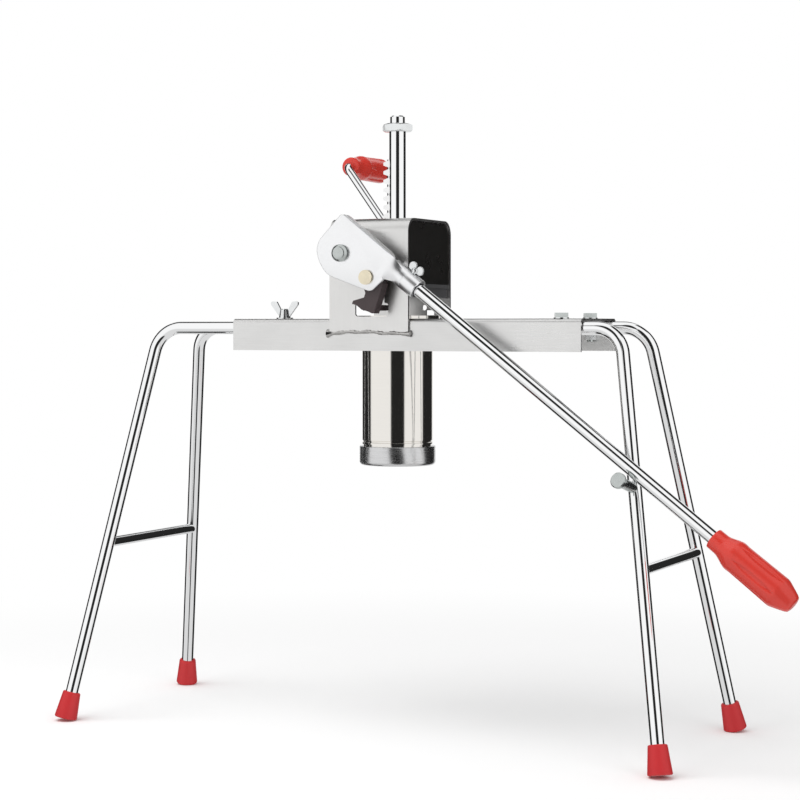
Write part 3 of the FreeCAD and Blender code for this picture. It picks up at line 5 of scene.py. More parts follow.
import bpy
from mathutils import Matrix, Vector


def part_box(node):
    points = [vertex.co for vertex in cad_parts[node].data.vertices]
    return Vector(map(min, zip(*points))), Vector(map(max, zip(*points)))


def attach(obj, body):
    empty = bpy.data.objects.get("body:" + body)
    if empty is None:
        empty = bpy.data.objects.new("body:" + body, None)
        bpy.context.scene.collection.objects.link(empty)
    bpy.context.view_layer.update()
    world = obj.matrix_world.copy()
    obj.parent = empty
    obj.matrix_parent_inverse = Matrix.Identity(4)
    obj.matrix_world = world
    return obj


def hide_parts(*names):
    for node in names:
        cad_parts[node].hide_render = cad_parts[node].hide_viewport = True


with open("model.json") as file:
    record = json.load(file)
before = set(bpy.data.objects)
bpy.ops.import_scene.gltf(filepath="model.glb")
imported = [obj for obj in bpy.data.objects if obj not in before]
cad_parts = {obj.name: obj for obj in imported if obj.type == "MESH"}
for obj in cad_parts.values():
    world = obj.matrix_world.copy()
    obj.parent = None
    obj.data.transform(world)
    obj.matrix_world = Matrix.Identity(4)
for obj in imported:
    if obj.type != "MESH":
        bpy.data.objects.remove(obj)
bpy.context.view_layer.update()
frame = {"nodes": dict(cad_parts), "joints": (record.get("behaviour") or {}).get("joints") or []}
nodes = frame["nodes"]

# -------------------------------------------------------------------------------------------------------
# Studio: a pale floor that runs out to white, soft lamps overhead and at the right, and white screens all
# round, a little greyer low down. Polished metal shows its shape only by what it mirrors, so dark cards
# hang round the lens and among the screens.
# -------------------------------------------------------------------------------------------------------
view_azimuth, view_elevation = math.radians(25.296), math.radians(2.079)
view_distance, view_target = 2.0429, Vector((0.002617, 0, 0.322593))
lens_focal_length, film_width, farthest_view = 93.31, 36, 50
to_lens = Vector((math.sin(view_azimuth) * math.cos(view_elevation),
                  -math.cos(view_azimuth) * math.cos(view_elevation), math.sin(view_elevation)))

camera_data = bpy.data.cameras.new("camera")
camera_data.lens = lens_focal_length
camera_data.sensor_width = film_width
camera_data.clip_end = farthest_view
camera = bpy.data.objects.new("camera", camera_data)
camera.location = view_target + to_lens * view_distance
camera.rotation_euler = to_lens.to_track_quat("Z", "Y").to_euler()
bpy.context.scene.collection.objects.link(camera)
bpy.context.scene.camera = camera
bpy.context.scene.view_settings.view_transform = "Standard"


def link_values(tree, kind, sources, **settings):
    """Adds a node, sets its properties, and links or sets its inputs by number or name."""
    node = tree.nodes.new(kind)
    for name, value in settings.items():
        setattr(node, name, value)
    for socket, source in sources.items():
        if isinstance(source, bpy.types.NodeSocket):
            tree.links.new(source, node.inputs[socket])
        else:
            node.inputs[socket].default_value = source
    return node


def calculated(tree, operation, *values, **settings):
    """One step of arithmetic on numbers or sockets, as the socket of its result."""
    return link_values(tree, "ShaderNodeMath", dict(enumerate(values)), operation=operation,
                       **settings).outputs[0]


def ramp_of(tree, source, stops):
    """A colour ramp of grey stops, given as (position, level)."""
    node = link_values(tree, "ShaderNodeValToRGB", {"Fac": source})
    while len(node.color_ramp.elements) < len(stops):
        node.color_ramp.elements.new(0.5)
    for element, (position, level) in zip(node.color_ramp.elements, stops):
        element.position = position
        element.color = (level, level, level, 1)
    return node.outputs["Color"]


world = bpy.data.worlds.new("studio")
bpy.context.scene.world = world
world.use_nodes = True
world.cycles.sampling_method = "NONE"
sky = world.node_tree
sky.nodes.clear()
direction = link_values(sky, "ShaderNodeTexCoord", {}).outputs["Generated"]
to_right = (math.cos(view_azimuth), math.sin(view_azimuth), 0)
to_front = (math.sin(view_azimuth), -math.cos(view_azimuth), 0)


def along_axis(axis):
    """How far the ray goes along an axis."""
    return link_values(sky, "ShaderNodeVectorMath", {0: direction, 1: axis},
                       operation="DOT_PRODUCT").outputs["Value"]


side_angle = calculated(sky, "ARCTAN2", along_axis(to_right), along_axis(to_front))
rise_angle = calculated(sky, "ARCSINE", along_axis((0, 0, 1)))


def dark_card(side, rise, half_width, half_height, softness):
    """A dark card that hangs among the screens: 1 inside an ellipse of angles in degrees, 0 outside."""
    squares = []
    for angle, middle, half_size in ((side_angle, side, half_width), (rise_angle, rise, half_height)):
        offset = calculated(sky, "SUBTRACT", angle, math.radians(middle))
        share = calculated(sky, "DIVIDE", offset, math.radians(half_size))
        squares.append(calculated(sky, "MULTIPLY", share, share))
    reach = calculated(sky, "SQRT", calculated(sky, "ADD", *squares))
    return link_values(sky, "ShaderNodeMapRange", {"Value": reach, 1: 1 + softness, 2: 1 - softness},
                       interpolation_type="SMOOTHSTEP").outputs[0]


card_places = {
    "round_the_lens": (0, 2, 22, 44, 0.12),
    "high_left_of_lens": (-31, 44, 22, 19, 0.2),
    "right_wall": (119.5, 0, 30.5, 56, 0.08),
    "left_wall": (-128, 0, 31, 56, 0.10),
    "high_behind_right_half": (180, 40, 24, 16, 0.3),
    "high_behind_left_half": (-180, 40, 24, 16, 0.3),
    "right_ceiling": (112, 62, 32, 16, 0.3),
    "high_on_right_wall": (138, 46, 16, 14, 0.25),
    "high_on_left_wall": (-152, 47, 20, 11, 0.3),
    "low_on_left_wall": (-115, -57, 35, 9, 0.3)}
card_masks = [dark_card(*card_place) for card_place in card_places.values()]
cards = card_masks[0]
for card_mask in card_masks[1:]:
    cards = calculated(sky, "MAXIMUM", cards, card_mask)
card_level, low_screen_level, soft_level = 0.02, 0.74, 0.62
grey_up_to, white_from = math.radians(-26), math.radians(-5)
from_below = link_values(sky, "ShaderNodeMapRange", {
    "Value": rise_angle, 1: grey_up_to, 2: white_from, 3: low_screen_level, 4: 1.0},
    interpolation_type="SMOOTHSTEP")
screens = link_values(sky, "ShaderNodeVectorMath", {
    0: ramp_of(sky, cards, [(0.0, 1.0), (1.0, card_level)]), 1: from_below.outputs[0]}, operation="MULTIPLY")
light_path = link_values(sky, "ShaderNodeLightPath", {})
soft_grey, white = (soft_level, soft_level, soft_level, 1), (1, 1, 1, 1)
seen_in_gloss = link_values(sky, "ShaderNodeMix", {
    "Factor": light_path.outputs["Is Glossy Ray"], 6: soft_grey, 7: screens.outputs[0]}, data_type="RGBA")
seen_by_lens = link_values(sky, "ShaderNodeMix", {
    "Factor": light_path.outputs["Is Camera Ray"], 6: seen_in_gloss.outputs[2], 7: white}, data_type="RGBA")
background = link_values(sky, "ShaderNodeBackground", {"Color": seen_by_lens.outputs[2], "Strength": 1.0})
link_values(sky, "ShaderNodeOutputWorld", {"Surface": background.outputs[0]})

for lamp_name, lamp_place, lamp_size, lamp_power in (
        ("overhead_lamp", (-0.5, -0.7, 2.1), 1.6, 26), ("side_lamp", (1.9, -1.2, 1.1), 1.2, 7)):
    lamp_data = bpy.data.lights.new(lamp_name, "AREA")
    lamp_data.shape = "SQUARE"
    lamp_data.size = lamp_size
    lamp_data.energy = lamp_power
    lamp = bpy.data.objects.new(lamp_name, lamp_data)
    lamp.location = lamp_place
    lamp.rotation_euler = (Vector(lamp_place) - view_target).to_track_quat("Z", "Y").to_euler()
    lamp.visible_glossy = False
    bpy.context.scene.collection.objects.link(lamp)

floor_size, floor_height = 12, -0.0005
fade_start, fade_end = 0.35, 1.1
bpy.ops.object.select_all(action="DESELECT")
bpy.ops.mesh.primitive_plane_add(size=floor_size, location=(0, 0, floor_height))
floor = bpy.context.object
floor.name = "floor"
floor.visible_glossy = False
floor_paint = bpy.data.materials.new("pale_floor")
floor_paint.use_nodes = True
tree = floor_paint.node_tree
tree.nodes.clear()
place = link_values(tree, "ShaderNodeTexCoord", {}).outputs["Object"]
away = link_values(tree, "ShaderNodeVectorMath", {0: place}, operation="LENGTH")
fade = link_values(tree, "ShaderNodeMapRange", {"Value": away.outputs["Value"], 1: fade_start, 2: fade_end},
                   interpolation_type="SMOOTHSTEP")
paths = link_values(tree, "ShaderNodeLightPath", {})
fade_seen = calculated(tree, "MULTIPLY", fade.outputs[0], paths.outputs["Is Camera Ray"])
paper = link_values(tree, "ShaderNodeBsdfDiffuse", {"Color": (0.96, 0.96, 0.96, 1)})
glow = link_values(tree, "ShaderNodeEmission", {"Color": white, "Strength": 1.0})
floor_mix = link_values(tree, "ShaderNodeMixShader", {0: fade_seen, 1: paper.outputs[0], 2: glow.outputs[0]})
link_values(tree, "ShaderNodeOutputMaterial", {"Surface": floor_mix.outputs[0]})
floor.data.materials.append(floor_paint)

# -------------------------------------------------------------------------------------------------------
# Beam, housing and clamp plate: bright zinc-plated steel sheet, folded on a brake. The rolling grain runs
# along the beam, the plate has cloudy patches, and handling has left fine scratches.
# -------------------------------------------------------------------------------------------------------


def new_group(name, inputs, outputs):
    """An empty shader group with float, vector or colour sockets, and its input and output nodes."""
    group = bpy.data.node_groups.new(name, "ShaderNodeTree")
    for socket, kind, value in inputs:
        made = group.interface.new_socket(socket, in_out="INPUT", socket_type="NodeSocket" + kind)
        made.default_value = value
    for socket, kind in outputs:
        group.interface.new_socket(socket, in_out="OUTPUT", socket_type="NodeSocket" + kind)
    return group, group.nodes.new("NodeGroupInput"), group.nodes.new("NodeGroupOutput")


metal_surface, given, result = new_group(
    "metal_surface",
    [("Tint", "Color", (0.8, 0.8, 0.8, 1)), ("Roughness", "Float", 0.3),
     ("Grain stretch", "Vector", (1, 1, 1)), ("Grain scale", "Float", 900.0), ("Grain", "Float", 0.1),
     ("Clouds", "Float", 0.1), ("Cloud scale", "Float", 30.0), ("Scratches", "Float", 0.1)],
    [("Color", "Color"), ("Roughness", "Float"), ("Height", "Float")])
place = link_values(metal_surface, "ShaderNodeTexCoord", {}).outputs["Object"]
stretched = link_values(metal_surface, "ShaderNodeVectorMath", {
    0: place, 1: given.outputs["Grain stretch"]}, operation="MULTIPLY")
grain = link_values(metal_surface, "ShaderNodeTexNoise", {
    "Vector": stretched.outputs[0], "Scale": given.outputs["Grain scale"], "Detail": 3.0})
clouds = link_values(metal_surface, "ShaderNodeTexNoise", {
    "Vector": place, "Scale": given.outputs["Cloud scale"], "Detail": 4.0, "Distortion": 0.6})
scratch_noise = link_values(metal_surface, "ShaderNodeTexNoise", {
    "Vector": place, "Scale": 55.0, "Detail": 5.0, "Distortion": 2.2})
thin_lines = ramp_of(metal_surface, scratch_noise.outputs["Fac"],
                     [(0.0, 0.0), (0.496, 0.0), (0.5, 1.0), (0.504, 0.0), (1.0, 0.0)])
scratches = calculated(metal_surface, "MULTIPLY", thin_lines, given.outputs["Scratches"])
grain_offset = calculated(metal_surface, "SUBTRACT", grain.outputs["Fac"], 0.5)
cloud_offset = calculated(metal_surface, "SUBTRACT", clouds.outputs["Fac"], 0.5)
grain_share = calculated(metal_surface, "MULTIPLY", grain_offset, given.outputs["Grain"])
cloud_share = calculated(metal_surface, "MULTIPLY", cloud_offset, given.outputs["Clouds"])
both = calculated(metal_surface, "ADD", grain_share, cloud_share)
rough_up = calculated(metal_surface, "ADD", both, scratches)
rough_all = calculated(metal_surface, "ADD", given.outputs["Roughness"], rough_up, use_clamp=True)
brightness = calculated(metal_surface, "MULTIPLY_ADD", both, -0.8, 1.0)
tinted = link_values(metal_surface, "ShaderNodeVectorMath", {0: given.outputs["Tint"], 1: brightness},
                     operation="MULTIPLY")
height = calculated(metal_surface, "SUBTRACT", grain_share, scratches)
for socket, source in (("Color", tinted.outputs[0]), ("Roughness", rough_all), ("Height", height)):
    metal_surface.links.new(source, result.inputs[socket])
relief_distance = 0.0003


def metal(name, tint, roughness, stretch=(1, 1, 1), grain_scale=900.0, grain_share=0.1, cloud_share=0.1,
          cloud_scale=30.0, scratch_share=0.1, bump=0.05):
    """A bare or plated metal: the surface group gives its colour and roughness, and a fine bump."""
    paint = bpy.data.materials.new(name)
    paint.use_nodes = True
    tree = paint.node_tree
    shader = tree.nodes["Principled BSDF"]
    surface = link_values(tree, "ShaderNodeGroup", {
        "Tint": (*tint, 1), "Roughness": roughness, "Grain stretch": stretch, "Grain scale": grain_scale,
        "Grain": grain_share, "Clouds": cloud_share, "Cloud scale": cloud_scale,
        "Scratches": scratch_share}, node_tree=metal_surface)
    relief = link_values(tree, "ShaderNodeBump", {
        "Height": surface.outputs["Height"], "Strength": bump, "Distance": relief_distance})
    tree.links.new(surface.outputs["Color"], shader.inputs["Base Color"])
    tree.links.new(surface.outputs["Roughness"], shader.inputs["Roughness"])
    tree.links.new(relief.outputs[0], shader.inputs["Normal"])
    shader.inputs["Metallic"].default_value = 1.0
    return paint


def dress(paint, *node_names):
    """Puts a material on every slot of the named nodes."""
    for node_name in node_names:
        for slot in nodes[node_name].material_slots:
            slot.material = paint


def smoothed(paint, body, slot, *node_names):
    """Stands in for CAD nodes with a joined and softly shaded copy of each, so that curves look curved."""
    sharpest_curve = math.radians(32)
    for node_name in node_names:
        bpy.ops.object.select_all(action="DESELECT")
        copy = bpy.data.objects.new("smooth_" + node_name, nodes[node_name].data.copy())
        bpy.context.scene.collection.objects.link(copy)
        copy.select_set(True)
        bpy.context.view_layer.objects.active = copy
        if copy.data.has_custom_normals:
            bpy.ops.mesh.customdata_custom_splitnormals_clear()
        bpy.ops.object.mode_set(mode="EDIT")
        bpy.ops.mesh.select_all(action="SELECT")
        bpy.ops.mesh.remove_doubles(threshold=1e-6)
        bpy.ops.mesh.normals_make_consistent(inside=False)
        bpy.ops.object.mode_set(mode="OBJECT")
        bpy.ops.object.shade_smooth_by_angle(angle=sharpest_curve)
        copy.data.materials.clear()
        copy.data.materials.append(paint)
        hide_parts(node_name)
        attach(copy, body)


beam_sheet = metal("zinc_sheet_along", (0.735, 0.732, 0.725), 0.30, stretch=(0.04, 1, 1), grain_share=0.09,
                   cloud_share=0.14, cloud_scale=14, scratch_share=0.12, bump=0.06)
housing_sheet = metal("zinc_sheet_upright", (0.75, 0.745, 0.735), 0.30, stretch=(1, 1, 0.05),
                      grain_share=0.05, cloud_share=0.16, cloud_scale=16, scratch_share=0.10, bump=0.04)
dress(beam_sheet, "clamp_plate")
smoothed(beam_sheet, "stand", "plated_sheet", "beam")
smoothed(housing_sheet, "stand", "plated_sheet", "housing")

# -------------------------------------------------------------------------------------------------------
# Weld beads: rod-welded by hand along the foot of the housing plates and left bright but rippled, with
# dull heat marks in random patches.
# -------------------------------------------------------------------------------------------------------
weld_metal = metal("weld_metal", (0.50, 0.49, 0.48), 0.26, grain_scale=260, grain_share=0.5,
                   cloud_share=0.5, cloud_scale=120, scratch_share=0.0, bump=0.35)
weld_radius, weld_sink = 0.00205, 0.0004
weld_overrun_left, weld_overrun_right, weld_stand = 0.0030, 0.0028, 0.0009


def closed_ends():
    """Fills the open ends of the piece in edit mode and turns its faces outwards."""
    bpy.ops.mesh.select_all(action="DESELECT")
    bpy.ops.mesh.select_non_manifold()
    bpy.ops.mesh.edge_face_add()
    bpy.ops.mesh.select_all(action="SELECT")
    bpy.ops.mesh.normals_make_consistent(inside=False)
    bpy.ops.object.mode_set(mode="OBJECT")


def weld_bead(name, side, left, right, face, height):
    """A hand-run bead along X: a ring drawn out in short swells that wander, thicker at both ends."""
    steps, ring_points = 66, 14
    left_swell, right_swell, swell_falloff = 1.1, 0.7, 14
    left_droop, right_droop, rounding_falloff = 0.0012, 0.00024, 60
    sizes, middles = [], []
    for step in range(steps + 1):
        share = step / steps
        from_end = min(share, 1 - share)
        swell, droop = (left_swell, left_droop) if share < 0.5 else (right_swell, right_droop)
        near_end = max(0.0, 1 - from_end * swell_falloff)
        ripple = 0.07 * math.sin(step * 2.05) + 0.12 * math.sin(step * 0.61 + 1)
        rounding = math.sqrt(max(0.03, 1 - max(0.0, 1 - from_end * rounding_falloff) ** 2))
        sizes.append(weld_radius * (1 + ripple + swell * near_end) * rounding)
        wander = 0.0009 * math.sin(6.2 * share - 0.9) + 0.0004 * math.sin(23 * share + 2)
        middles.append(Vector((left + (right - left) * share, side * face,
                               height - weld_sink + wander - droop * near_end)))
    bpy.ops.object.select_all(action="DESELECT")
    bpy.ops.mesh.primitive_circle_add(vertices=ring_points, radius=1)
    bead = bpy.context.object
    bead.name = name
    bpy.ops.object.mode_set(mode="EDIT")
    bpy.ops.mesh.select_all(action="SELECT")
    bpy.ops.transform.rotate(value=math.pi / 2, orient_axis="Y", center_override=(0, 0, 0))
    bpy.ops.transform.resize(value=(sizes[0],) * 3, center_override=(0, 0, 0))
    bpy.ops.transform.translate(value=middles[0])
    for step in range(1, steps + 1):
        forward, growth = middles[step] - middles[step - 1], sizes[step] / sizes[step - 1]
        bpy.ops.mesh.extrude_region_move(TRANSFORM_OT_translate={"value": forward})
        bpy.ops.transform.resize(value=(growth,) * 3, center_override=middles[step])
    closed_ends()
    return bead


def joined(*pieces):
    """Joins pieces into the first one, which stays the active object."""
    bpy.ops.object.select_all(action="DESELECT")
    for piece in pieces:
        piece.select_set(True)
    bpy.context.view_layer.objects.active = pieces[0]
    bpy.ops.object.join()
    return pieces[0]


def settle(piece, paint, body, slot, *replaced, matrix=Matrix.Identity(4), smooth=35):
    """Shades the active piece, turns its mesh into place, dresses it, and hands it over to its body."""
    bpy.ops.object.shade_smooth_by_angle(angle=math.radians(smooth))
    piece.data.transform(matrix)
    piece.data.materials.append(paint)
    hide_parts(*replaced)
    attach(piece, body)


bead_low, bead_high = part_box("housing_welds")
weld_left, weld_right = bead_low.x - weld_overrun_left, bead_high.x + weld_overrun_right
weld_face, housing_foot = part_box("beam")[1].y + weld_stand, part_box("housing")[0].z
beads = [weld_bead(f"weld_bead_{where}", side, weld_left, weld_right, weld_face, housing_foot)
         for where, side in (("front", -1), ("rear", 1))]
settle(joined(*beads), weld_metal, "stand", "weld", "housing_welds", smooth=60)

# -------------------------------------------------------------------------------------------------------
# End covers and skirts: black-lacquered sheet let into the housing's ends over a dark grey plate, whose
# bare lip shows as a light line between the two.
# -------------------------------------------------------------------------------------------------------


def moulded(name, tint, roughness, grain_scale, relief_depth, mottle, coat=0.0):
    """A plastic, rubber or lacquer: fine pebbled relief, a faint mottle in colour and shine."""
    paint = bpy.data.materials.new(name)
    paint.use_nodes = True
    tree = paint.node_tree
    shader = tree.nodes["Principled BSDF"]
    place = link_values(tree, "ShaderNodeTexCoord", {}).outputs["Object"]
    pebble = link_values(tree, "ShaderNodeTexNoise", {"Vector": place, "Scale": grain_scale, "Detail": 2.0})
    cloud = link_values(tree, "ShaderNodeTexNoise", {"Vector": place, "Scale": 45.0, "Detail": 4.0})
    darker = tuple(channel * (1 - mottle) for channel in tint)
    shade = link_values(tree, "ShaderNodeMix", {
        "Factor": cloud.outputs["Fac"], 6: (*tint, 1), 7: (*darker, 1)}, data_type="RGBA")
    shine = link_values(tree, "ShaderNodeMapRange", {
        "Value": cloud.outputs["Fac"], 1: 0.3, 2: 0.7, 3: roughness * 0.85, 4: roughness * 1.2})
    relief = link_values(tree, "ShaderNodeBump", {
        "Height": pebble.outputs["Fac"], "Strength": relief_depth, "Distance": relief_distance})
    tree.links.new(shade.outputs[2], shader.inputs["Base Color"])
    tree.links.new(shine.outputs[0], shader.inputs["Roughness"])
    tree.links.new(relief.outputs[0], shader.inputs["Normal"])
    shader.inputs["Coat Weight"].default_value = coat
    shader.inputs["Coat Roughness"].default_value = 0.2
    return paint


black_lacquer = moulded("black_lacquer", (0.012, 0.011, 0.010), 0.30, 900, 0.05, 0.2, coat=0.3)
grey_plate = moulded("grey_plate", (0.085, 0.085, 0.088), 0.42, 700, 0.08, 0.25)
dress(black_lacquer, "end_cover_left", "end_cover_right")
dress(grey_plate, "end_skirt_left", "end_skirt_right")

# -------------------------------------------------------------------------------------------------------
# Leg frames: half-inch steel tube, bent cold and chromed bright, with a thinner crossbar welded between
# each pair of legs.
# -------------------------------------------------------------------------------------------------------
bright_chrome = metal("bright_chrome", (0.93, 0.935, 0.94), 0.055, grain_scale=400, grain_share=0.02,
                      cloud_share=0.04, cloud_scale=20, scratch_share=0.10, bump=0.01)
smoothed(bright_chrome, "left_frame", "tube_chrome", "leg_front_left", "leg_rear_left", "crossbar_left")
smoothed(bright_chrome, "stand", "tube_chrome", "leg_front_right", "leg_rear_right", "crossbar_right")

# -------------------------------------------------------------------------------------------------------
# Feet: caps of red rubber pushed over the ends of the legs, flared towards the sole and trimmed flat where
# they stand.
# -------------------------------------------------------------------------------------------------------
red_rubber = moulded("red_rubber", (0.60, 0.020, 0.025), 0.48, 500, 0.12, 0.16)
dress(red_rubber, "foot_front_left", "foot_rear_left", "foot_front_right", "foot_rear_right")

# -------------------------------------------------------------------------------------------------------
# Fasteners: bolts, nuts, washers and cross-screws of cold-headed steel, in a bluish zinc duller than the
# sheet. They hold the legs, the barrel and the clamp plate. The round head holds the lever, and the headed
# peg on the front right leg stops it.
# -------------------------------------------------------------------------------------------------------
blue_zinc = metal("blue_zinc", (0.80, 0.815, 0.82), 0.20, grain_scale=500, grain_share=0.04,
                  cloud_share=0.16, cloud_scale=90, scratch_share=0.10, bump=0.03)
grey_zinc = metal("grey_zinc", (0.53, 0.56, 0.55), 0.24, grain_scale=500, grain_share=0.05,
                  cloud_share=0.25, cloud_scale=120, scratch_share=0.15, bump=0.04)
dress(grey_zinc, "leg_bolts", "lever_peg")
dress(blue_zinc, "leg_bolt_washers", "leg_bolt_nuts", "clamp_bolt", "clamp_washer", "wing_nut",
      "barrel_screws", "piston_nut", "hub_screw")


def turned(name, profile, segments):
    """A closed piece about the Z axis: a ring drawn out along pairs of radius and height, then shut."""
    bpy.ops.object.select_all(action="DESELECT")
    radius, height = profile[0]
    bpy.ops.mesh.primitive_circle_add(vertices=segments, radius=radius)
    piece = bpy.context.object
    piece.name = name
    bpy.ops.object.mode_set(mode="EDIT")
    bpy.ops.mesh.select_all(action="SELECT")
    bpy.ops.transform.translate(value=(0, 0, height))
    for next_radius, next_height in profile[1:]:
        bpy.ops.mesh.extrude_region_move(TRANSFORM_OT_translate={"value": (0, 0, next_height - height)})
        scale = next_radius / radius
        bpy.ops.transform.resize(value=(scale, scale, 1), center_override=(0, 0, next_height))
        radius, height = next_radius, next_height
    closed_ends()
    return piece


nut_low, nut_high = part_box("rod_nut")
nut_height = nut_high.z - nut_low.z
nut_flats, nut_bore, nut_chamfer, nut_turn = 0.027, 0.00735, 0.0016, 35
nut_corner, nut_land = nut_flats / math.sqrt(3), nut_flats * 0.46
rod_nut = turned("chamfered_rod_nut", [
    (nut_bore, 0), (nut_land, 0), (nut_corner, nut_chamfer), (nut_corner, nut_height - nut_chamfer),
    (nut_land, nut_height), (nut_bore, nut_height)], segments=72)
bpy.ops.object.mode_set(mode="EDIT")
for side in range(6):
    toward = Matrix.Rotation(math.radians(60 * side + nut_turn), 3, "Z") @ Vector((1, 0, 0))
    bpy.ops.mesh.select_all(action="SELECT")
    bpy.ops.mesh.bisect(plane_co=toward * nut_flats / 2, plane_no=toward, use_fill=True, clear_outer=True)
bpy.ops.object.mode_set(mode="OBJECT")
settle(rod_nut, blue_zinc, "plunger", "fastener", "rod_nut", smooth=20,
       matrix=Matrix.Translation((0, 0, nut_low.z)))

cap_low, cap_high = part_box("pivot_cap")
cap_middle = Vector(((cap_low.x + cap_high.x) / 2, cap_high.y, (cap_low.z + cap_high.z) / 2))
pivot_head = turned("pivot_head", [
    (0.0070, 0.0), (0.0082, 0.0), (0.0083, 0.0004), (0.0083, 0.0024), (0.0079, 0.0030), (0.0063, 0.0043),
    (0.0059, 0.0046), (0.0056, 0.0047), (0.0020, 0.0048)], segments=64)
settle(pivot_head, grey_zinc, "lever", "fastener", "pivot_cap",
       matrix=Matrix.Translation(cap_middle) @ Matrix.Rotation(math.pi / 2, 4, "X"))

# -------------------------------------------------------------------------------------------------------
# Barrel: a stainless tube turned and polished outside. Its screwed cap is only turned, so it shows fine
# rings, and holds a bronze die.
# -------------------------------------------------------------------------------------------------------
polished_barrel = metal("polished_barrel", (0.82, 0.795, 0.755), 0.085, stretch=(0.15, 0.15, 6),
                        grain_scale=260, grain_share=0.05, cloud_share=0.03, scratch_share=0.05, bump=0.03)
turned_cap = metal("turned_cap", (0.66, 0.66, 0.665), 0.24, stretch=(0.08, 0.08, 4), grain_scale=420,
                   grain_share=0.24, cloud_share=0.05, scratch_share=0.05, bump=0.16)
die_bronze = metal("die_bronze", (0.70, 0.52, 0.27), 0.28, grain_scale=500, grain_share=0.12,
                   cloud_share=0.15, scratch_share=0.1, bump=0.06)
smoothed(polished_barrel, "stand", "barrel_steel", "barrel")
smoothed(turned_cap, "cap", "barrel_steel", "die_cap")
dress(turned_cap, "piston")
dress(die_bronze, "die_plate")

# -------------------------------------------------------------------------------------------------------
# Plunger: a chromed rod with a toothed rack let into its side, a black seal round the piston at its foot
# and a nut on its threaded top. The gullets between the teeth are painted dark, as painted shade in the
# gaps.
# -------------------------------------------------------------------------------------------------------
black_nitrile = moulded("black_nitrile", (0.018, 0.018, 0.018), 0.5, 700, 0.1, 0.2)
rack_steel = metal("rack_steel", (0.86, 0.86, 0.865), 0.20, stretch=(1, 1, 0.1), grain_scale=500,
                   grain_share=0.08, cloud_share=0.06, scratch_share=0.1, bump=0.05)
smoothed(bright_chrome, "plunger", "tube_chrome", "plunger_rod")
dress(rack_steel, "pinion")

rack_painted_gullet_shade = metal("rack_painted_gullet_shade", (0.90, 0.90, 0.90), 0.22, grain_scale=500, grain_share=0.04,
                     cloud_share=0.06, scratch_share=0.1, bump=0.03)
# Painted shade: a near-black spot at the root of each gap between the rack's teeth stands for the shadow
# there.
rack_low, rack_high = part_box("rack")
rack_teeth, gullet_depth, gullet_shade_radius, gullet_shade_edge = 16, 0.0042, 0.0010, 0.0016
tooth_pitch = (rack_high.z - rack_low.z) / rack_teeth
tree = rack_painted_gullet_shade.node_tree
place = link_values(tree, "ShaderNodeTexCoord", {}).outputs["Object"]
parted = link_values(tree, "ShaderNodeSeparateXYZ", {0: place})
beyond_foot = calculated(tree, "SUBTRACT", parted.outputs["Z"], rack_low.z)
from_gullet = calculated(tree, "PINGPONG", beyond_foot, tooth_pitch / 2)
depth_in = calculated(tree, "SUBTRACT", parted.outputs["X"], rack_low.x + gullet_depth)
aside = link_values(tree, "ShaderNodeCombineXYZ", {0: from_gullet, 1: depth_in})
reach = link_values(tree, "ShaderNodeVectorMath", {0: aside.outputs[0]}, operation="LENGTH")
gullet_painted_shade = link_values(tree, "ShaderNodeMapRange", {
    "Value": reach.outputs["Value"], 1: gullet_shade_edge, 2: gullet_shade_radius}, interpolation_type="SMOOTHSTEP")
shader = tree.nodes["Principled BSDF"]
bare = shader.inputs["Base Color"].links[0].from_socket
dark = link_values(tree, "ShaderNodeMix", {
    "Factor": gullet_painted_shade.outputs[0], 6: bare, 7: (0.03, 0.028, 0.025, 1)}, data_type="RGBA")
tree.links.new(dark.outputs[2], shader.inputs["Base Color"])
dress(rack_painted_gullet_shade, "rack")
dress(black_nitrile, "piston_seal")

# -------------------------------------------------------------------------------------------------------
# Shaft, bushes and crank: a ground shaft in turned brass bushes, with a hub at the rear that carries a
# chromed rod bent back into the spindle of its grip.
# -------------------------------------------------------------------------------------------------------
turned_brass = metal("turned_brass", (0.80, 0.66, 0.40), 0.27, grain_scale=480, grain_share=0.10,
                     cloud_share=0.16, cloud_scale=60, scratch_share=0.12, bump=0.06)
dress(turned_brass, "rod_guide", "shaft_bush_front", "shaft_bush_rear")
dress(bright_chrome, "crank_shaft")
smoothed(bright_chrome, "crank", "tube_chrome", "crank_arm")
dress(housing_sheet, "crank_hub")

# -------------------------------------------------------------------------------------------------------
# Lever: a pressed plate with a folded upper edge and a neck rolled round a short socket. The socket takes
# a chromed tube, which a butterfly screw pinches. The plate is plated white-bright and smoother than the
# housing behind it.
# -------------------------------------------------------------------------------------------------------
white_zinc = metal("white_zinc", (0.93, 0.935, 0.945), 0.30, grain_scale=600, grain_share=0.05,
                   cloud_share=0.06, cloud_scale=25, scratch_share=0.08, bump=0.04)
dress(white_zinc, "lever_hub")

pitch, splay = math.radians(36.5), math.radians(4)
pivot_x, pivot_y, pivot_height = next(
    joint["pos_m"] for joint in frame["joints"] if joint["name"] == "lever_swing")
plate_front = -pivot_y
lever_frame = (Matrix.Translation((pivot_x, 0, pivot_height)) @ Matrix.Rotation(pitch, 4, "Y")
               @ Matrix.Rotation(math.pi / 2, 4, "X"))
plate_thickness, fold_thickness = 0.004, 0.0024
fold_height, fold_slope = 0.0318, math.radians(-1.7)
socket_mouth, socket_length = Vector((0.0833, 0.0175, 0.064)), 0.035
neck_size, neck_middle, neck_cuts = 0.024, (0.0540, 0.0180), 24
neck_proud, neck_lift, neck_thickness = 0.0002, 0.00025, 0.0003
roll_start, roll_length = 0.0470, 0.0155


def aimed(direction):
    """The turn that points Z along a direction."""
    return direction.to_track_quat("Z", "Y").to_matrix().to_4x4()


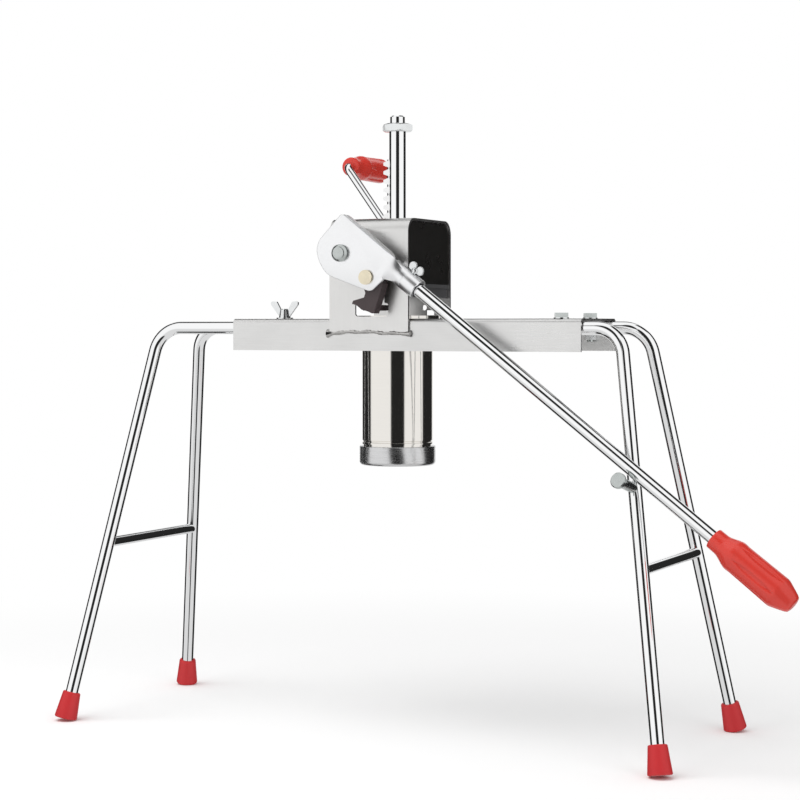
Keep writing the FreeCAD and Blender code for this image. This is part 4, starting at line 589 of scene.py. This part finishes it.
def pick(piece, fits):
    """Selects the vertices whose place fits, and leaves the piece in edit mode."""
    bpy.ops.object.mode_set(mode="EDIT")
    bpy.ops.mesh.select_mode(type="VERT")
    bpy.ops.mesh.select_all(action="DESELECT")
    bpy.ops.object.mode_set(mode="OBJECT")
    for vertex in piece.data.vertices:
        vertex.select = fits(vertex.co)
    bpy.ops.object.mode_set(mode="EDIT")


def sheet_blank(name, corners, rounds, thickness, edge):
    """A blank cut from sheet in the XY plane: a point drawn out along its corners, filled and raised."""
    bpy.ops.object.select_all(action="DESELECT")
    bpy.ops.mesh.primitive_plane_add(size=0.001)
    blank = bpy.context.object
    blank.name = name
    bpy.ops.object.mode_set(mode="EDIT")
    bpy.ops.mesh.select_all(action="SELECT")
    bpy.ops.mesh.merge(type="CENTER")
    bpy.ops.transform.translate(value=(*corners[0], 0))
    for (x, y), (next_x, next_y) in zip(corners, corners[1:]):
        bpy.ops.mesh.extrude_region_move(TRANSFORM_OT_translate={"value": (next_x - x, next_y - y, 0)})
    bpy.ops.mesh.select_all(action="SELECT")
    bpy.ops.mesh.edge_face_add()
    bpy.ops.object.mode_set(mode="OBJECT")
    for corner, radius in zip(corners, rounds):
        if radius:
            pick(blank, lambda at: (at - Vector((*corner, 0))).length < 1e-5)
            bpy.ops.mesh.bevel(offset=radius, segments=8, affect="VERTICES", offset_type="OFFSET")
            bpy.ops.object.mode_set(mode="OBJECT")
    bpy.ops.object.mode_set(mode="EDIT")
    bpy.ops.mesh.select_all(action="SELECT")
    bpy.ops.mesh.extrude_region_move(TRANSFORM_OT_translate={"value": (0, 0, thickness)})
    bpy.ops.mesh.select_all(action="SELECT")
    bpy.ops.mesh.normals_make_consistent(inside=False)
    bpy.ops.mesh.select_all(action="DESELECT")
    bpy.ops.mesh.edges_select_sharp(sharpness=math.radians(60))
    bpy.ops.mesh.bevel(offset=edge, segments=3)
    bpy.ops.object.mode_set(mode="OBJECT")
    return blank


face = sheet_blank("pressed_lever_plate", [
    (-0.0215, 0.0320), (-0.0270, -0.0095), (-0.0115, -0.0225), (0.0020, -0.0250), (0.0480, -0.0110),
    (0.0518, 0.0070), (0.0465, 0.0095), (0.0465, 0.0300)],
    [0.004, 0.009, 0.009, 0.007, 0.004, 0.001, 0, 0.001], plate_thickness, edge=0.0007)
bpy.ops.object.mode_set(mode="EDIT")
bpy.ops.mesh.select_all(action="SELECT")
bpy.ops.transform.translate(value=(0, 0, plate_front - plate_thickness))
bpy.ops.object.mode_set(mode="OBJECT")

fold = sheet_blank("folded_edge", [(-0.0180, 0.0), (0.0500, 0.0), (0.0420, -0.0090), (-0.0180, -0.0090)],
                   [0, 0, 0.004, 0.003], fold_thickness, edge=0.0008)
fold.data.transform(Matrix.Translation((0, fold_height, plate_front - fold_thickness / 2))
                    @ Matrix.Rotation(fold_slope, 4, "Z") @ Matrix.Rotation(math.pi / 2, 4, "X"))

sleeve = turned("sleeve", [
    (0.0062, 0.0), (0.0098, 0.0), (0.0100, 0.0004), (0.0100, 0.0346), (0.0097, socket_length),
    (0.0083, socket_length), (0.0079, 0.0346), (0.0077, 0.0292), (0.0067, 0.0290)], segments=64)
sleeve.data.transform(
    Matrix.Translation(socket_mouth) @ aimed(Vector((math.cos(splay), 0, math.sin(splay))))
    @ Matrix.Translation((0, 0, -socket_length)))

bpy.ops.object.select_all(action="DESELECT")
bpy.ops.mesh.primitive_plane_add(size=1)
neck = bpy.context.object
neck.name = "rolled_neck"
bpy.ops.object.mode_set(mode="EDIT")
bpy.ops.mesh.select_all(action="SELECT")
bpy.ops.mesh.subdivide(number_cuts=neck_cuts)
bpy.ops.transform.resize(value=(neck_size, neck_size, 1), center_override=(0, 0, 0))
bpy.ops.transform.translate(value=(*neck_middle, plate_front + neck_proud))
bpy.ops.object.mode_set(mode="OBJECT")
rolled = neck.vertex_groups.new(name="rolled")
for vertex in neck.data.vertices:
    share = min(1.0, max(0.0, (vertex.co.x - roll_start) / roll_length))
    rolled.add([vertex.index], share * share * (3 - 2 * share), "REPLACE")
shrink = neck.modifiers.new("shrink", "SHRINKWRAP")
shrink.target, shrink.vertex_group, shrink.offset = sleeve, rolled.name, neck_lift
bpy.ops.object.modifier_apply(modifier=shrink.name)
solid = neck.modifiers.new("sheet", "SOLIDIFY")
solid.thickness, solid.offset = neck_thickness, -1
bpy.ops.object.modifier_apply(modifier=solid.name)
bpy.ops.object.mode_set(mode="EDIT")
bpy.ops.mesh.select_all(action="SELECT")
bpy.ops.mesh.normals_make_consistent(inside=False)
bpy.ops.object.mode_set(mode="OBJECT")
settle(joined(face, fold, sleeve, neck), white_zinc, "lever", "plated_sheet", "lever_plate", "lever_socket",
       matrix=lever_frame)

lobe_radius, lobe_thickness, lobe_stretch, lobe_lean = 0.0040, 0.0021, 1.12, math.radians(28)
lobe_edge, lobe_aside, lobe_height = 0.0007, 0.0045, 0.0086
screw_foot = Vector((0.0698, 0.0239, 0.0631))
screw_stem = turned("butterfly_screw", [
    (0.0010, 0.0), (0.0024, 0.0), (0.0024, 0.0045), (0.0034, 0.0046), (0.0035, 0.0050), (0.0035, 0.0072),
    (0.0028, 0.0082), (0.0010, 0.0084)], segments=40)
lobes = []
for side in (-1, 1):
    bpy.ops.object.select_all(action="DESELECT")
    bpy.ops.mesh.primitive_cylinder_add(vertices=40, radius=lobe_radius, depth=lobe_thickness)
    lobes.append(bpy.context.object)
    bpy.ops.object.mode_set(mode="EDIT")
    bpy.ops.mesh.select_all(action="DESELECT")
    bpy.ops.mesh.edges_select_sharp(sharpness=math.radians(60))
    bpy.ops.mesh.bevel(offset=lobe_edge, segments=3)
    bpy.ops.mesh.select_all(action="SELECT")
    bpy.ops.transform.rotate(value=math.pi / 2, orient_axis="X", center_override=(0, 0, 0))
    bpy.ops.transform.resize(value=(1, 1, lobe_stretch), center_override=(0, 0, 0))
    bpy.ops.transform.rotate(value=lobe_lean * side, orient_axis="Y", center_override=(0, 0, 0))
    bpy.ops.transform.translate(value=(lobe_aside * side, 0, lobe_height))
    bpy.ops.object.mode_set(mode="OBJECT")
settle(joined(screw_stem, *lobes), blue_zinc, "lever_screw", "fastener", "set_screw",
       matrix=lever_frame @ Matrix.Translation(screw_foot) @ Matrix.Rotation(-math.pi / 2, 4, "X"))
smoothed(bright_chrome, "lever", "tube_chrome", "lever_tube")

# -------------------------------------------------------------------------------------------------------
# Pawl and rivet: a dark brown iron casting, left as cast, that swings on a pale brass rivet through the
# lever plate.
# -------------------------------------------------------------------------------------------------------
pale_brass = metal("pale_brass", (0.86, 0.78, 0.60), 0.38, grain_scale=500, grain_share=0.12,
                   cloud_share=0.15, cloud_scale=80, scratch_share=0.15, bump=0.08)
brown_iron = moulded("brown_iron", (0.060, 0.042, 0.044), 0.46, 420, 0.35, 0.35)
smoothed(pale_brass, "lever", "brass", "pawl_rivet")
dress(brown_iron, "pawl")

# -------------------------------------------------------------------------------------------------------
# Grips: moulded in red plastic, each with a plain collar that flares into a body of raised panels parted
# by long grooves, and a blunt rounded end.
# -------------------------------------------------------------------------------------------------------
red_plastic = moulded("red_plastic", (0.68, 0.040, 0.026), 0.28, 650, 0.06, 0.12, coat=0.15)


def moulded_grip(name, node, body, length, collar, widest, core, start, direction):
    """A grip drawn out as a lathe would, with grooves pressed in, set over its CAD node."""
    flare = ((0.05, 0.0), (0.10, 0.02), (0.13, 0.10), (0.17, 0.36), (0.22, 0.72), (0.26, 0.92), (0.29, 0.97))
    tip = ((0.825, 0.0003), (0.85, 0.0012), (0.93, 0.0040), (0.972, 0.0056), (0.990, 0.0068),
           (0.9985, 0.0090))
    bore_depth, steps, swell = 0.012, 26, 0.0006
    profile = [(core, bore_depth), (core, 0.0), (collar - 0.0010, 0.0), (collar - 0.0003, 0.0003),
               (collar, 0.001)]
    profile += [(collar + (widest - collar) * share, length * at) for at, share in flare]
    profile += [(widest - swell * (1 - step / steps), length * (0.31 + 0.50 * step / steps))
                for step in range(steps + 1)]
    profile += [(widest - inset, length * at) for at, inset in tip]
    profile += [(widest * 0.2, length)]
    piece = turned(name, profile, segments=120)
    first, last = length * 0.32, length * 0.80
    grooves, groove_taper, panel_margin = 6, 0.011, 0.004

    def in_groove(at, half_width):
        """Whether a place lies in a groove of that half width, which narrows towards its ends."""
        turn = math.atan2(at.y, at.x) * grooves / (2 * math.pi)
        aside = abs(turn - round(turn)) * 2 * math.pi / grooves * widest
        taper = min(1.0, (at.z - first) / groove_taper, (last - at.z) / groove_taper)
        return math.hypot(at.x, at.y) > collar * 0.9 and aside < half_width * taper

    for half_width, depth in ((0.0026, 0.0005), (0.0019, 0.0006), (0.0011, 0.0004)):
        pick(piece, lambda at: in_groove(at, half_width))
        scale = 1 - depth / widest
        bpy.ops.transform.resize(value=(scale, scale, 1), center_override=(0, 0, 0))
    pick(piece, lambda at: first - panel_margin < at.z < last + panel_margin)
    bpy.ops.mesh.vertices_smooth(factor=0.5, repeat=2)
    bpy.ops.object.mode_set(mode="OBJECT")
    settle(piece, red_plastic, body, "grip_plastic", node,
           matrix=Matrix.Translation(start) @ aimed(direction))


tube_showing = 0.3707
lever_line = Vector((math.cos(pitch) * math.cos(splay), -math.sin(splay),
                     -math.sin(pitch) * math.cos(splay)))
lever_grip_start = lever_frame @ socket_mouth + lever_line * tube_showing
moulded_grip("red_lever_grip", "lever_grip", "lever", length=0.0915, collar=0.00975, widest=0.01475,
             core=0.00635, start=lever_grip_start, direction=lever_line)
crank_low, crank_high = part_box("crank_grip")
crank_grip_start = Vector(((crank_low.x + crank_high.x) / 2, crank_low.y, (crank_low.z + crank_high.z) / 2))
moulded_grip("red_crank_grip", "crank_grip", "crank_handle", length=0.086, collar=0.00975, widest=0.013,
             core=0.004, start=crank_grip_start, direction=Vector((0, 1, 0)))
